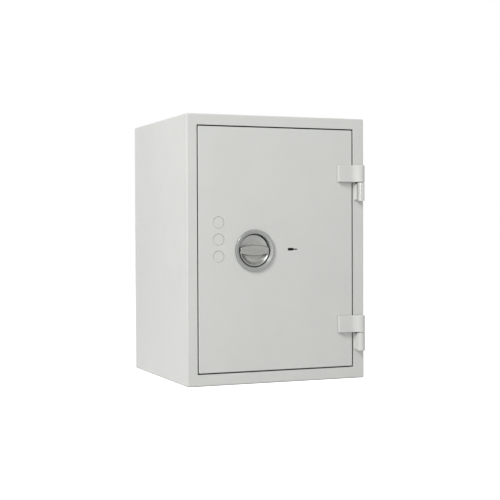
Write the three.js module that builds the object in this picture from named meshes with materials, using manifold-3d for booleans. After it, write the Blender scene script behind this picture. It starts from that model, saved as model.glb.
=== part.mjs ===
// Fire-resistant document cabinet with one hinged door, in millimetres, +Z up.
// The origin is the centre of the underside. The door faces -Y and its hinges are on the +X side.
// Rest pose: door shut, bolts drawn back, handle bar level.

import * as THREE from 'three';
import { mergeVertices } from 'three/addons/utils/BufferGeometryUtils.js';
import Module from 'manifold-3d';

const wasm = await Module();
wasm.setup();

// ---------------------------------------------------------------- driving dimensions, mm

const SEAT = 0.3; // gap kept between two pieces that touch
const PAST = 1; // how far a cutter runs past the face that it cuts

const BODY_WIDTH = 460;
const BODY_DEPTH = 420;
const BODY_HEIGHT = 637;
const SHELL_SHEET = 2;

const FRAME_LEFT = 25; // visible frame beside the door, lock side
const FRAME_RIGHT = 29; // hinge side
const FRAME_TOP = 26;
const FRAME_BOTTOM = 27.5;
const FRAME_SHEET = 3;
const STEP_BEHIND_RIM = 8; // door rim's rear edge to the step that the door seals against
const REBATE_STEP = 33; // how far the step runs in to the compartment's opening
const REVEAL_DEPTH = 34; // step to the front edge of the liner
const BACK_WALL = 60;
const LINER_SHEET = 1.5;

const DOOR_GAP = 3;
const DOOR_SKIN = 3;
const DOOR_RIM = 2;
const DOOR_PLATE = 2;
const DOOR_PLATE_INSET = 1;
const PLUG_CLEARANCE = 8; // the plug swings out past the reveal
const PLUG_DEPTH = 36.5;
const COVER_SHEET = 1.2;
const COVER_FLANGE = 9;
const SCREW_FROM_CORNER = 30;
const SCREW_RADIUS = 2.2;
const SCREW_HEAD_RADIUS = 3.8;
const SCREW_HEAD = 2;
const SEAL_WIDTH = 16;
const SEAL_FROM_REVEAL = 6;

const ANCHOR_Y = 60;
const ANCHOR_RADIUS = 7;
const ANCHOR_WALL = 2;
const ANCHOR_CAP_RADIUS = 11;

const STRIP_YS = [-95, 105];
const STRIP_WIDTH = 16;
const STRIP_SHEET = 2;
const STRIP_END_GAP = 15;
const SLOT_PITCH = 25;
const SLOT_WIDTH = 8;
const SLOT_HEIGHT = 4;
const SHELF_SLOT = 9; // the slot, counted from the lowest, that carries the shelf
const SHELF_SHEET = 1.2;
const SHELF_LIP = 18;
const SHELF_FRONT_GAP = 20; // liner's front edge to the shelf
const SHELF_BACK_GAP = 15;
const SHELF_SIDE_GAP = 0.8;
const CLIP_WIDTH = 12;
const CLIP_SHEET = 1.5;
const CLIP_REACH = 14;

const HINGE_INSET = 13.5; // axis in from the body's side
const HINGE_LOWER = 114; // underside of the lower arm
const HINGE_UPPER_DROP = 155.4; // body's top to the underside of the upper arm
const KNUCKLE_RADIUS = 10;
const ARM_HEIGHT = 41;
const ARM_REACH = 58.5;
const ARM_THICKNESS = 10;
const BARREL_LENGTH = 45;
const WASHER = 1;
const PIN_RADIUS = 5;
const PIN_END_COVER = 4;

const HANDLE_FROM_EDGE = 141.5; // from the door's lock-side edge
const HANDLE_HEIGHT = 316.7;
const RING_RADIUS = 49.5;
const RING_BORE = 39.3;
const RING_WALL = 1.4;
const RING_CREST = 5.4;
const RING_TAIL = 10;
const BOWL_CLEARANCE = 0.7;
const BOWL_DEPTH = 12;
const BOWL_WALL = 2.5;
const GRIP_HALF_HEIGHT = 11.5;
const GRIP_END_HALF_HEIGHT = 7.5;
const GRIP_PROUD = 2;
const SPINDLE_RADIUS = 4;
const CAM_RIM = 2.8; // metal left outside the crank pin

const CAP_RADIUS = 13.7;
const CAP_FLANGE = 3.3;
const CAP_FROM_HANDLE_X = -91.2;
const CAP_FROM_HANDLE_ZS = [66.7, 26.5, -13.7];

const BOLT_RADIUS = 10;
const BOLT_ROOM = 7; // depth of the door's cavity left in front of and behind the bolts
const BOLT_REAR_ROOM = 3.5;
const BOLT_THROW = 18;
const BOLT_FROM_END = 110; // from the door's top and bottom edges
const BOLT_BORE_CLEARANCE = 0.5;
const HANDLE_SWING = Math.PI / 2;
const CRANK_PIN_RADIUS = 3.5;
const CRANK_SLOT_CLEARANCE = 0.6;
const CARRIER_SHEET = 4;
const CARRIER_BEHIND_BOLT = 4; // bolt axis to the carrier's front face
const CARRIER_FROM_EDGE = 42;
const CARRIER_WIDTH = 30;
const CARRIER_END = 20; // carrier past the outermost bolts
const CARRIER_ARM = 14;
const TONGUE_HALF_HEIGHT = 26.5;
const GUIDE_WALL = 3;
const GUIDE_GRIP = 6; // how much of the carrier's end a guide holds
const GUIDE_CAP = 8;

const DOG_RADIUS = 7;
const DOG_PROUD = 7;
const DOG_HEAD_RADIUS = 10;
const DOG_HEAD = 8;
const DOG_BORE = 10.5; // wide enough for the dog bolt to swing out

const LOCK_FROM_HANDLE_X = 98.5;
const LOCK_FROM_HANDLE_Z = 2;
const CASE_WIDTH = 64;
const CASE_BELOW_KEY = 32.7;
const CASE_ABOVE_KEY = 53.3;
const CASE_WALL = 2;
const CASE_BACK_GAP = 1.5; // lock cover to the door's back plate
const LOCK_COVER = 1.7;
const CURTAIN_RADIUS = 14;
const CURTAIN_DEPTH = 16.4;
const CURTAIN_CLEARANCE = 0.4;
const KEY_DEPTH = 10;
const KEY_HALF_WIDTH = 12.4;
const KEY_SHANK_RADIUS = 3.4;
const KEY_THICK_BIT = 6.4;
const KEY_THIN_BIT = 2.8;
const KEY_SWING = (80 * Math.PI) / 180;
const LOCK_THROW = 9;
const LOCK_PIN_RADIUS = 1.5;
const LOCK_SLOT_CLEARANCE = 0.4;
const LOCK_BOLT_WIDTH = 8;
const LOCK_BOLT_GAP = 1; // lock bolt to the carrier's lug, either side
const LOCK_TAIL_WIDTH = 22;
const LOCK_HEAD_ROOT = 15; // how far the head runs down over the tail

// ---------------------------------------------------------------- places worked out from them

const FRONT = -BODY_DEPTH / 2;
const BACK = BODY_DEPTH / 2;

/** A rectangle seen from the front, shrunk by d on all four sides (or grown by a negative d). */
const inset = (r, d) => ({ x0: r.x0 + d, x1: r.x1 - d, z0: r.z0 + d, z1: r.z1 - d });

const bodyRect = { x0: -BODY_WIDTH / 2, x1: BODY_WIDTH / 2, z0: 0, z1: BODY_HEIGHT };
const openingRect = {
  x0: bodyRect.x0 + FRAME_LEFT,
  x1: bodyRect.x1 - FRAME_RIGHT,
  z0: FRAME_BOTTOM,
  z1: BODY_HEIGHT - FRAME_TOP,
};
const revealRect = inset(openingRect, REBATE_STEP);
const doorRect = inset(openingRect, DOOR_GAP);
const plugRect = inset(revealRect, PLUG_CLEARANCE);

const doorDepth = DOOR_SKIN + 2 * BOLT_RADIUS + BOLT_ROOM;
const rebateDepth = doorDepth + STEP_BEHIND_RIM;
const stepY = FRONT + rebateDepth;
const frameRearY = stepY + REVEAL_DEPTH;
const linerBackY = BACK - BACK_WALL;
const plateFrontY = FRONT + doorDepth + SEAT;
const plateRearY = plateFrontY + DOOR_PLATE;
const coverFrontY = plateRearY + SEAT;
const coverRearY = coverFrontY + PLUG_DEPTH;
const sealThickness = (stepY - plateRearY - 3 * SEAT) / 2;

const handleX = doorRect.x0 + HANDLE_FROM_EDGE;
const handleZ = HANDLE_HEIGHT;
const lockX = handleX + LOCK_FROM_HANDLE_X;
const lockZ = handleZ + LOCK_FROM_HANDLE_Z;
const boltY = FRONT + doorDepth - BOLT_REAR_ROOM - BOLT_RADIUS;
const boltZs = [
  doorRect.z0 + BOLT_FROM_END,
  (doorRect.z0 + doorRect.z1) / 2,
  doorRect.z1 - BOLT_FROM_END,
];
const dogZs = [boltZs[0], boltZs[2]];
const carrierFrontY = boltY + CARRIER_BEHIND_BOLT;
const carrierRearY = carrierFrontY + CARRIER_SHEET;
const carrierX0 = doorRect.x0 + CARRIER_FROM_EDGE;
const carrierX1 = carrierX0 + CARRIER_WIDTH;
const carrierZ0 = boltZs[0] - CARRIER_END;
const carrierZ1 = boltZs[2] + CARRIER_END;
const crankRadius = BOLT_THROW / 2 / Math.sin(HANDLE_SWING / 2);
const lockCrankRadius = LOCK_THROW / 2 / Math.sin(KEY_SWING / 2);

const axisX = bodyRect.x1 - HINGE_INSET;
const axisY = FRONT - SEAT - KNUCKLE_RADIUS;
const hingeZs = { lower: HINGE_LOWER, upper: BODY_HEIGHT - HINGE_UPPER_DROP };

const stripZ0 = revealRect.z0 + STRIP_END_GAP;
const stripZ1 = revealRect.z1 - STRIP_END_GAP;
const slotCount = Math.floor((stripZ1 - stripZ0) / SLOT_PITCH);
const slotZ = (k) => stripZ0 + (k + 0.5) * SLOT_PITCH;
const shelfSlotZ = slotZ(Math.min(SHELF_SLOT, slotCount - 1));
const shelfUnderZ = shelfSlotZ + SLOT_HEIGHT;

// ---------------------------------------------------------------- shape helpers

/** A box from its six limits. */
function box(x0, x1, y0, y1, z0, z1) {
  const g = new THREE.BoxGeometry(x1 - x0, y1 - y0, z1 - z0);
  return g.translate((x0 + x1) / 2, (y0 + y1) / 2, (z0 + z1) / 2);
}

/** A slab that fills a front-view rectangle from y0 to y1. */
const slab = (r, y0, y1) => box(r.x0, r.x1, y0, y1, r.z0, r.z1);

/** A round bar on the named axis, from one place on it to another. */
function rod(radius, axis, from, to, sides = 20) {
  const g = new THREE.CylinderGeometry(radius, radius, to - from, sides);
  g.translate(0, (from + to) / 2, 0);
  if (axis === 'x') g.rotateZ(-Math.PI / 2);
  if (axis === 'z') g.rotateX(Math.PI / 2);
  return g;
}

/** A turned piece about Y, from the closed outline [radius, y] of its section. */
function turned(outline, sides) {
  const pts = outline.map(([r, y]) => new THREE.Vector2(r, y));
  if (THREE.ShapeUtils.area(pts) < 0) pts.reverse();
  const onAxis = pts.filter((p) => p.x === 0).length > 0;
  if (onAxis) {
    // start at the lower point on the axis, so that the profile runs from axis to axis
    const first = pts.findIndex((p, i) => p.x === 0 && pts[(i + pts.length - 1) % pts.length].x === 0);
    pts.push(...pts.splice(0, first));
  } else {
    pts.push(pts[0].clone());
  }
  return new THREE.LatheGeometry(pts, sides);
}

/** A shape drawn in (x, z) and extruded along Y from y0 to y1. */
function plateXZ(shape, y0, y1, curveSegments = 12) {
  const g = new THREE.ExtrudeGeometry(shape, { depth: y1 - y0, bevelEnabled: false, curveSegments });
  return g.rotateX(Math.PI / 2).translate(0, y1, 0);
}

/** A shape drawn in (x, y) and extruded up from z0 to z1. */
function plateXY(shape, z0, z1, curveSegments = 12) {
  const g = new THREE.ExtrudeGeometry(shape, { depth: z1 - z0, bevelEnabled: false, curveSegments });
  return g.translate(0, 0, z0);
}

const moved = (g, x, y, z) => g.clone().translate(x, y, z);

/** A closed geometry as a manifold solid. */
function toSolid(geometry) {
  const bare = geometry.clone();
  bare.deleteAttribute('normal');
  bare.deleteAttribute('uv');
  const g = mergeVertices(bare, 1e-4);
  return new wasm.Manifold(
    new wasm.Mesh({
      numProp: 3,
      vertProperties: Float32Array.from(g.attributes.position.array),
      triVerts: Uint32Array.from(g.index.array),
    }),
  );
}

function toGeometry(solid) {
  const mesh = solid.getMesh();
  const g = new THREE.BufferGeometry();
  g.setAttribute('position', new THREE.BufferAttribute(Float32Array.from(mesh.vertProperties), 3));
  g.setIndex(new THREE.BufferAttribute(Uint32Array.from(mesh.triVerts), 1));
  g.computeVertexNormals();
  return g;
}

const join = (first, ...rest) => toGeometry(rest.reduce((s, g) => s.add(toSolid(g)), toSolid(first)));
const cut = (first, ...rest) => toGeometry(rest.reduce((s, g) => s.subtract(toSolid(g)), toSolid(first)));

// ---------------------------------------------------------------- finishes

const finish = (color, roughness, metalness) =>
  new THREE.MeshStandardMaterial({ color, roughness, metalness });

const make = {
  paint: () => finish(0xd6d7d3, 0.55, 0.0),
  innerPaint: () => finish(0xc9cac6, 0.6, 0.0),
  insulation: () => finish(0xb9b4a8, 0.95, 0.0),
  seal: () => finish(0x3b3a38, 0.85, 0.0),
  satin: () => finish(0xb4b6b4, 0.35, 1.0),
  nickel: () => finish(0x9c9e9c, 0.32, 1.0),
  zinc: () => finish(0xa9a79b, 0.45, 1.0),
  plastic: () => finish(0x2c2c2c, 0.6, 0.0),
};

/** Adds one named piece to a group. */
function add(group, name, geometry, material) {
  const mesh = new THREE.Mesh(geometry, material);
  mesh.name = name;
  group.add(mesh);
  return mesh;
}

/** A nested group placed in its parent. */
function place(parent, x, y, z) {
  const group = new THREE.Group();
  group.position.set(x, y, z);
  parent.add(group);
  return group;
}

// ---------------------------------------------------------------- the cabinet

function buildCabinet(root) {
  const cabinet = place(root, 0, 0, 0);
  const shellInside = inset(bodyRect, SHELL_SHEET);
  const anchorHole = moved(rod(ANCHOR_RADIUS, 'z', -PAST, FRAME_BOTTOM + REBATE_STEP + PAST), 0, ANCHOR_Y, 0);
  add(
    cabinet,
    'outer_shell',
    cut(
      slab(bodyRect, FRONT, BACK),
      slab(shellInside, FRONT + SHELL_SHEET, BACK + PAST),
      slab(openingRect, FRONT - PAST, FRONT + SHELL_SHEET + PAST),
      anchorHole,
    ),
    make.paint(),
  );
  add(cabinet, 'back_plate', slab(inset(shellInside, SEAT), BACK - SHELL_SHEET, BACK), make.paint());

  const frameFrontY = FRONT + SHELL_SHEET + SEAT;
  const boltHoles = boltZs.map((z) =>
    moved(rod(BOLT_RADIUS + BOLT_BORE_CLEARANCE, 'x', -FRAME_SHEET - PAST, PAST), openingRect.x0, boltY, z),
  );
  const dogHoles = dogZs.map((z) =>
    moved(rod(DOG_BORE, 'x', -PAST, FRAME_SHEET + PAST), openingRect.x1, boltY, z),
  );
  add(
    cabinet,
    'door_frame',
    cut(
      join(
        slab(inset(openingRect, -FRAME_SHEET), frameFrontY, stepY + FRAME_SHEET),
        slab(inset(revealRect, -FRAME_SHEET), stepY, frameRearY),
      ),
      slab(openingRect, frameFrontY - PAST, stepY),
      slab(revealRect, stepY - PAST, frameRearY + PAST),
      ...boltHoles,
      ...dogHoles,
    ),
    make.paint(),
  );
  const sealInner = inset(revealRect, -SEAL_FROM_REVEAL);
  add(
    cabinet,
    'frame_seal',
    cut(
      slab(inset(sealInner, -SEAL_WIDTH), stepY - SEAT - sealThickness, stepY - SEAT),
      slab(sealInner, stepY - rebateDepth, stepY + PAST),
    ),
    make.seal(),
  );

  const linerFrontY = frameRearY + SEAT;
  add(
    cabinet,
    'inner_liner',
    cut(
      slab(inset(revealRect, -LINER_SHEET), linerFrontY, linerBackY + LINER_SHEET),
      slab(revealRect, linerFrontY - PAST, linerBackY),
      anchorHole,
    ),
    make.innerPaint(),
  );
  buildInsulation(cabinet, shellInside);
  buildAnchor(cabinet);
  return cabinet;
}

/** Five slabs of fire insulation between the shell and the liner. */
function buildInsulation(cabinet, shellInside) {
  const outer = inset(shellInside, SEAT);
  const inner = inset(revealRect, -FRAME_SHEET - SEAT);
  const y0 = stepY + FRAME_SHEET + SEAT;
  const y1 = BACK - SHELL_SHEET - SEAT;
  const sleeveHole = moved(rod(ANCHOR_RADIUS + ANCHOR_WALL + SEAT, 'z', -PAST, BODY_HEIGHT), 0, ANCHOR_Y, 0);
  const slabs = {
    left: { ...outer, x1: inner.x0 },
    right: { ...outer, x0: inner.x1 },
    top: { x0: inner.x0 + SEAT, x1: inner.x1 - SEAT, z0: inner.z1, z1: outer.z1 },
    bottom: { x0: inner.x0 + SEAT, x1: inner.x1 - SEAT, z0: outer.z0, z1: inner.z0 },
    back: inset(inner, SEAT),
  };
  for (const [side, rect] of Object.entries(slabs)) {
    const from = side === 'back' ? linerBackY + LINER_SHEET + SEAT : y0;
    const plain = slab(rect, from, y1);
    add(cabinet, `insulation_${side}`, side === 'bottom' ? cut(plain, sleeveHole) : plain, make.insulation());
  }
}

/** The sleeve through the floor for an anchor bolt, and the cap that closes it inside. */
function buildAnchor(cabinet) {
  const linerFloorZ = revealRect.z0;
  const anchor = place(cabinet, 0, ANCHOR_Y, 0);
  const z0 = SHELL_SHEET + SEAT;
  const z1 = linerFloorZ - LINER_SHEET - SEAT;
  add(
    anchor,
    'anchor_sleeve',
    cut(rod(ANCHOR_RADIUS + ANCHOR_WALL, 'z', z0, z1), rod(ANCHOR_RADIUS, 'z', z0 - PAST, z1 + PAST)),
    make.zinc(),
  );
  const headZ = linerFloorZ + SEAT;
  add(
    anchor,
    'anchor_cap',
    join(
      rod(ANCHOR_CAP_RADIUS, 'z', headZ, headZ + ANCHOR_WALL),
      rod(ANCHOR_RADIUS - SEAT, 'z', headZ - 4 * ANCHOR_WALL, headZ + PAST),
    ),
    make.plastic(),
  );
}

/** Four slotted strips, four clips hooked into them, and the shelf that lies on the clips. */
function buildShelf(cabinet) {
  const sides = [
    { side: 'left', wall: revealRect.x0, way: 1 },
    { side: 'right', wall: revealRect.x1, way: -1 },
  ];
  const stripFace = SEAT + STRIP_SHEET; // liner wall to the strip's inner face
  const across = (s, a, b) => [s.wall + s.way * a, s.wall + s.way * b].sort((m, n) => m - n);
  for (const s of sides) {
    STRIP_YS.forEach((y, i) => {
      const where = `${s.side}_${i === 0 ? 'front' : 'rear'}`;
      const [sx0, sx1] = across(s, SEAT, stripFace);
      const strip = box(sx0, sx1, y - STRIP_WIDTH / 2, y + STRIP_WIDTH / 2, stripZ0, stripZ1);
      const slots = Array.from({ length: slotCount }, (_, k) =>
        box(
          sx0 - PAST, sx1 + PAST,
          y - SLOT_WIDTH / 2, y + SLOT_WIDTH / 2,
          slotZ(k) - SLOT_HEIGHT / 2, slotZ(k) + SLOT_HEIGHT / 2,
        ),
      );
      add(cabinet, `shelf_strip_${where}`, cut(strip, ...slots), make.zinc());

      const face = stripFace + SEAT;
      const [lx0, lx1] = across(s, face, face + CLIP_REACH);
      const [ux0, ux1] = across(s, face, face + CLIP_SHEET);
      const [hx0, hx1] = across(s, 2 * SEAT, face + CLIP_SHEET);
      const ledgeZ = shelfUnderZ - SEAT;
      const tongue = SLOT_WIDTH / 2 - 2 * SEAT;
      const tongueZ = SLOT_HEIGHT / 2 - 2 * SEAT;
      add(
        cabinet,
        `shelf_clip_${where}`,
        join(
          box(lx0, lx1, y - CLIP_WIDTH / 2, y + CLIP_WIDTH / 2, ledgeZ - CLIP_SHEET, ledgeZ),
          box(ux0, ux1, y - CLIP_WIDTH / 2, y + CLIP_WIDTH / 2, ledgeZ - CLIP_REACH, ledgeZ),
          box(hx0, hx1, y - tongue, y + tongue, shelfSlotZ - tongueZ, shelfSlotZ + tongueZ),
        ),
        make.zinc(),
      );
    });
  }
  const x0 = revealRect.x0 + stripFace + SHELF_SIDE_GAP;
  const x1 = revealRect.x1 - stripFace - SHELF_SIDE_GAP;
  const y0 = frameRearY + SHELF_FRONT_GAP;
  const y1 = linerBackY - SHELF_BACK_GAP;
  const topZ = shelfUnderZ + SHELF_SHEET;
  add(
    cabinet,
    'shelf',
    cut(
      box(x0, x1, y0, y1, topZ - SHELF_LIP, topZ),
      box(x0 - PAST, x1 + PAST, y0 + SHELF_SHEET, y1 - SHELF_SHEET, topZ - SHELF_LIP - PAST, shelfUnderZ),
    ),
    make.innerPaint(),
  );
}

// ---------------------------------------------------------------- the hinges

/** The outline of a hinge arm seen from above: a flat tongue that swells into the knuckle. */
function armShape() {
  const back = KNUCKLE_RADIUS;
  const frontFace = KNUCKLE_RADIUS - ARM_THICKNESS;
  const r = KNUCKLE_RADIUS;
  const shape = new THREE.Shape();
  shape.moveTo(-ARM_REACH, back);
  shape.lineTo(0, back);
  shape.absarc(0, 0, r, Math.PI / 2, -Math.PI / 2, true);
  shape.bezierCurveTo(-r, -r, -1.4 * r, frontFace, -2.8 * r, frontFace);
  shape.lineTo(2 - ARM_REACH, frontFace + 0.6);
  shape.lineTo(-ARM_REACH, frontFace + 2.6);
  return shape;
}

function buildHinge(cabinet, door, where) {
  const z = hingeZs[where];
  const fixed = place(cabinet, axisX, axisY, z);
  const swinging = place(door, axisX, axisY, z);
  const barrelTop = -WASHER - 2 * SEAT;
  const barrelFoot = barrelTop - BARREL_LENGTH;
  const bore = PIN_RADIUS + SEAT;
  const pinFoot = barrelFoot + PIN_END_COVER;
  const pinTop = ARM_HEIGHT - PIN_END_COVER;
  add(
    fixed,
    `hinge_barrel_${where}`,
    cut(
      rod(KNUCKLE_RADIUS, 'z', barrelFoot, barrelTop, 28),
      rod(bore, 'z', pinFoot - SEAT, barrelTop + PAST),
    ),
    where === 'upper' ? make.satin() : make.paint(),
  );
  add(fixed, `hinge_pin_${where}`, rod(PIN_RADIUS, 'z', pinFoot, pinTop), make.satin());
  add(
    fixed,
    `thrust_washer_${where}`,
    cut(
      rod(KNUCKLE_RADIUS - PAST, 'z', barrelTop + SEAT, barrelTop + SEAT + WASHER),
      rod(bore, 'z', barrelTop, PAST),
    ),
    make.zinc(),
  );
  add(
    swinging,
    `hinge_arm_${where}`,
    cut(plateXY(armShape(), 0, ARM_HEIGHT), rod(bore, 'z', -PAST, pinTop + SEAT)),
    make.paint(),
  );
}

// ---------------------------------------------------------------- the door

/** A keyhole cutter about the origin: a shank with one thick bit and one thin bit. */
function keyholeCutter(y0, y1) {
  return join(
    rod(KEY_SHANK_RADIUS, 'y', y0, y1, 16),
    box(-KEY_HALF_WIDTH, 0, y0, y1, -KEY_THICK_BIT / 2, KEY_THICK_BIT / 2),
    box(0, KEY_HALF_WIDTH, y0, y1, -KEY_THIN_BIT / 2, KEY_THIN_BIT / 2),
  );
}

const capPlaces = CAP_FROM_HANDLE_ZS.map((dz) => [handleX + CAP_FROM_HANDLE_X, handleZ + dz]);
const coverScrewPlaces = [
  ['lower_left', plugRect.x0 - COVER_FLANGE / 2, plugRect.z0 + SCREW_FROM_CORNER],
  ['lower_right', plugRect.x1 + COVER_FLANGE / 2, plugRect.z0 + SCREW_FROM_CORNER],
  ['upper_left', plugRect.x0 - COVER_FLANGE / 2, plugRect.z1 - SCREW_FROM_CORNER],
  ['upper_right', plugRect.x1 + COVER_FLANGE / 2, plugRect.z1 - SCREW_FROM_CORNER],
];

function buildDoor(door) {
  const skinHole = (radius, x, z, sides) =>
    moved(rod(radius, 'y', FRONT - PAST, FRONT + DOOR_SKIN + PAST, sides), x, 0, z);
  add(
    door,
    'door_skin',
    cut(
      slab(doorRect, FRONT, FRONT + doorDepth),
      slab(inset(doorRect, DOOR_RIM), FRONT + DOOR_SKIN, FRONT + doorDepth + PAST),
      skinHole(RING_BORE + RING_WALL + SEAT, handleX, handleZ, 40),
      ...capPlaces.map(([x, z]) => skinHole(CAP_RADIUS + SEAT, x, z, 24)),
      moved(keyholeCutter(-PAST, DOOR_SKIN + PAST), lockX, FRONT, lockZ),
      ...boltZs.map((z) =>
        moved(rod(BOLT_RADIUS + BOLT_BORE_CLEARANCE, 'x', -PAST, DOOR_RIM + PAST), doorRect.x0, boltY, z),
      ),
      ...dogZs.map((z) =>
        moved(rod(DOG_RADIUS + SEAT, 'x', -DOOR_RIM - PAST, PAST), doorRect.x1, boltY, z),
      ),
    ),
    make.paint(),
  );
  const screwHoles = coverScrewPlaces.map(([, x, z]) =>
    moved(rod(SCREW_RADIUS + SEAT, 'y', plateFrontY - PAST, coverFrontY + COVER_SHEET + PAST, 12), x, 0, z),
  );
  add(
    door,
    'door_back_plate',
    cut(slab(inset(doorRect, DOOR_PLATE_INSET), plateFrontY, plateRearY), ...screwHoles),
    make.paint(),
  );
  const sealInner = inset(revealRect, -SEAL_FROM_REVEAL);
  add(
    door,
    'door_seal',
    cut(
      slab(inset(sealInner, -SEAL_WIDTH), plateRearY + SEAT, plateRearY + SEAT + sealThickness),
      slab(sealInner, plateRearY - PAST, stepY),
    ),
    make.seal(),
  );
  add(
    door,
    'door_inner_cover',
    cut(
      join(
        slab(plugRect, coverFrontY, coverRearY),
        slab(inset(plugRect, -COVER_FLANGE), coverFrontY, coverFrontY + COVER_SHEET),
      ),
      slab(inset(plugRect, COVER_SHEET), coverFrontY - PAST, coverRearY - COVER_SHEET),
      ...screwHoles,
    ),
    make.innerPaint(),
  );
  add(
    door,
    'door_insulation',
    slab(inset(plugRect, COVER_SHEET + SEAT), coverFrontY, coverRearY - COVER_SHEET - SEAT),
    make.insulation(),
  );
  for (const [where, x, z] of coverScrewPlaces) {
    const screw = place(door, x, coverFrontY + COVER_SHEET + SEAT, z);
    const shank = -COVER_SHEET - DOOR_PLATE - DOOR_SKIN;
    const head = rod(SCREW_HEAD_RADIUS, 'y', 0, SCREW_HEAD, 16);
    add(screw, `cover_screw_${where}`, join(head, rod(SCREW_RADIUS, 'y', shank, PAST, 12)), make.zinc());
  }
  capPlaces.forEach(([x, z], i) => {
    const cap = place(door, x, FRONT, z);
    const flangeY = DOOR_SKIN + SEAT;
    add(
      cap,
      `blanking_cap_${i + 1}`,
      turned(
        [
          [0, 0.4],
          [CAP_RADIUS - 0.8, 0.4],
          [CAP_RADIUS, 1.2],
          [CAP_RADIUS, flangeY],
          [CAP_RADIUS + CAP_FLANGE, flangeY],
          [CAP_RADIUS + CAP_FLANGE, flangeY + 1.5],
          [0, flangeY + 1.5],
        ],
        24,
      ),
      make.paint(),
    );
  });
  dogZs.forEach((z, i) => {
    const dog = place(door, doorRect.x1, boltY, z);
    const headEnd = -DOOR_RIM - SEAT;
    add(
      dog,
      `dog_bolt_${i === 0 ? 'lower' : 'upper'}`,
      join(rod(DOG_RADIUS, 'x', headEnd - PAST, DOG_PROUD), rod(DOG_HEAD_RADIUS, 'x', headEnd - DOG_HEAD, headEnd)),
      make.satin(),
    );
  });
}

// ---------------------------------------------------------------- the handle

function buildHandle(door) {
  const handle = place(door, handleX, FRONT, handleZ);
  add(
    handle,
    'handle_ring',
    turned(
      [
        [RING_BORE + RING_WALL, -SEAT],
        [RING_RADIUS, -SEAT],
        [RING_RADIUS, -0.55 * RING_CREST],
        [RING_RADIUS - 1.1, -0.87 * RING_CREST],
        [RING_RADIUS - 3.1, -RING_CREST],
        [RING_RADIUS - 5.5, -0.9 * RING_CREST],
        [RING_BORE + 1.2, -0.3 * RING_CREST],
        [RING_BORE, 0.8],
        [RING_BORE, RING_TAIL],
        [RING_BORE + RING_WALL, RING_TAIL],
      ],
      40,
    ),
    make.nickel(),
  );
  const rim = RING_BORE - BOWL_CLEARANCE;
  const bowlRear = BOWL_DEPTH + BOWL_WALL;
  const bowl = turned(
    [
      [0, BOWL_DEPTH],
      [rim - 5, BOWL_DEPTH],
      [rim - 3, BOWL_DEPTH - 3],
      [rim - 1.6, 1.2],
      [rim, 1.5],
      [rim, BOWL_DEPTH],
      [rim - BOWL_WALL, bowlRear],
      [0, bowlRear],
    ],
    40,
  );
  const half = rim - 1;
  const bulge = 2 * GRIP_HALF_HEIGHT - GRIP_END_HALF_HEIGHT;
  const bar = new THREE.Shape();
  bar.moveTo(-half, -GRIP_END_HALF_HEIGHT);
  bar.quadraticCurveTo(0, -bulge, half, -GRIP_END_HALF_HEIGHT);
  bar.lineTo(half, GRIP_END_HALF_HEIGHT);
  bar.quadraticCurveTo(0, bulge, -half, GRIP_END_HALF_HEIGHT);
  const grip = toSolid(plateXZ(bar, -GRIP_PROUD, BOWL_DEPTH + BOWL_WALL / 2, 10));
  const roundGrip = toGeometry(grip.intersect(toSolid(rod(rim - 0.8, 'y', -GRIP_PROUD - PAST, bowlRear, 40))));
  add(handle, 'handle_knob', join(bowl, roundGrip), make.nickel());

  const camFront = bowlRear + SEAT;
  const camRear = carrierFrontY - FRONT - SEAT;
  const carrierRear = carrierRearY - FRONT;
  const tail = plateFrontY - FRONT - 2 * SEAT;
  const pinAngle = HANDLE_SWING / 2;
  const crankPin = moved(
    rod(CRANK_PIN_RADIUS, 'y', camFront, carrierRear),
    crankRadius * Math.sin(pinAngle), 0, crankRadius * Math.cos(pinAngle),
  );
  add(
    handle,
    'handle_spindle',
    join(
      rod(crankRadius + CRANK_PIN_RADIUS + CAM_RIM, 'y', camFront, camRear, 32),
      rod(SPINDLE_RADIUS, 'y', camFront, tail),
      crankPin,
    ),
    make.zinc(),
  );
  const bearingFront = carrierRear + SEAT;
  add(
    handle,
    'spindle_bearing',
    cut(
      rod(2.4 * SPINDLE_RADIUS, 'y', bearingFront, plateFrontY - FRONT - SEAT),
      rod(SPINDLE_RADIUS + SEAT, 'y', bearingFront - PAST, doorDepth + PAST),
    ),
    make.zinc(),
  );
}

// ---------------------------------------------------------------- the boltwork

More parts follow.
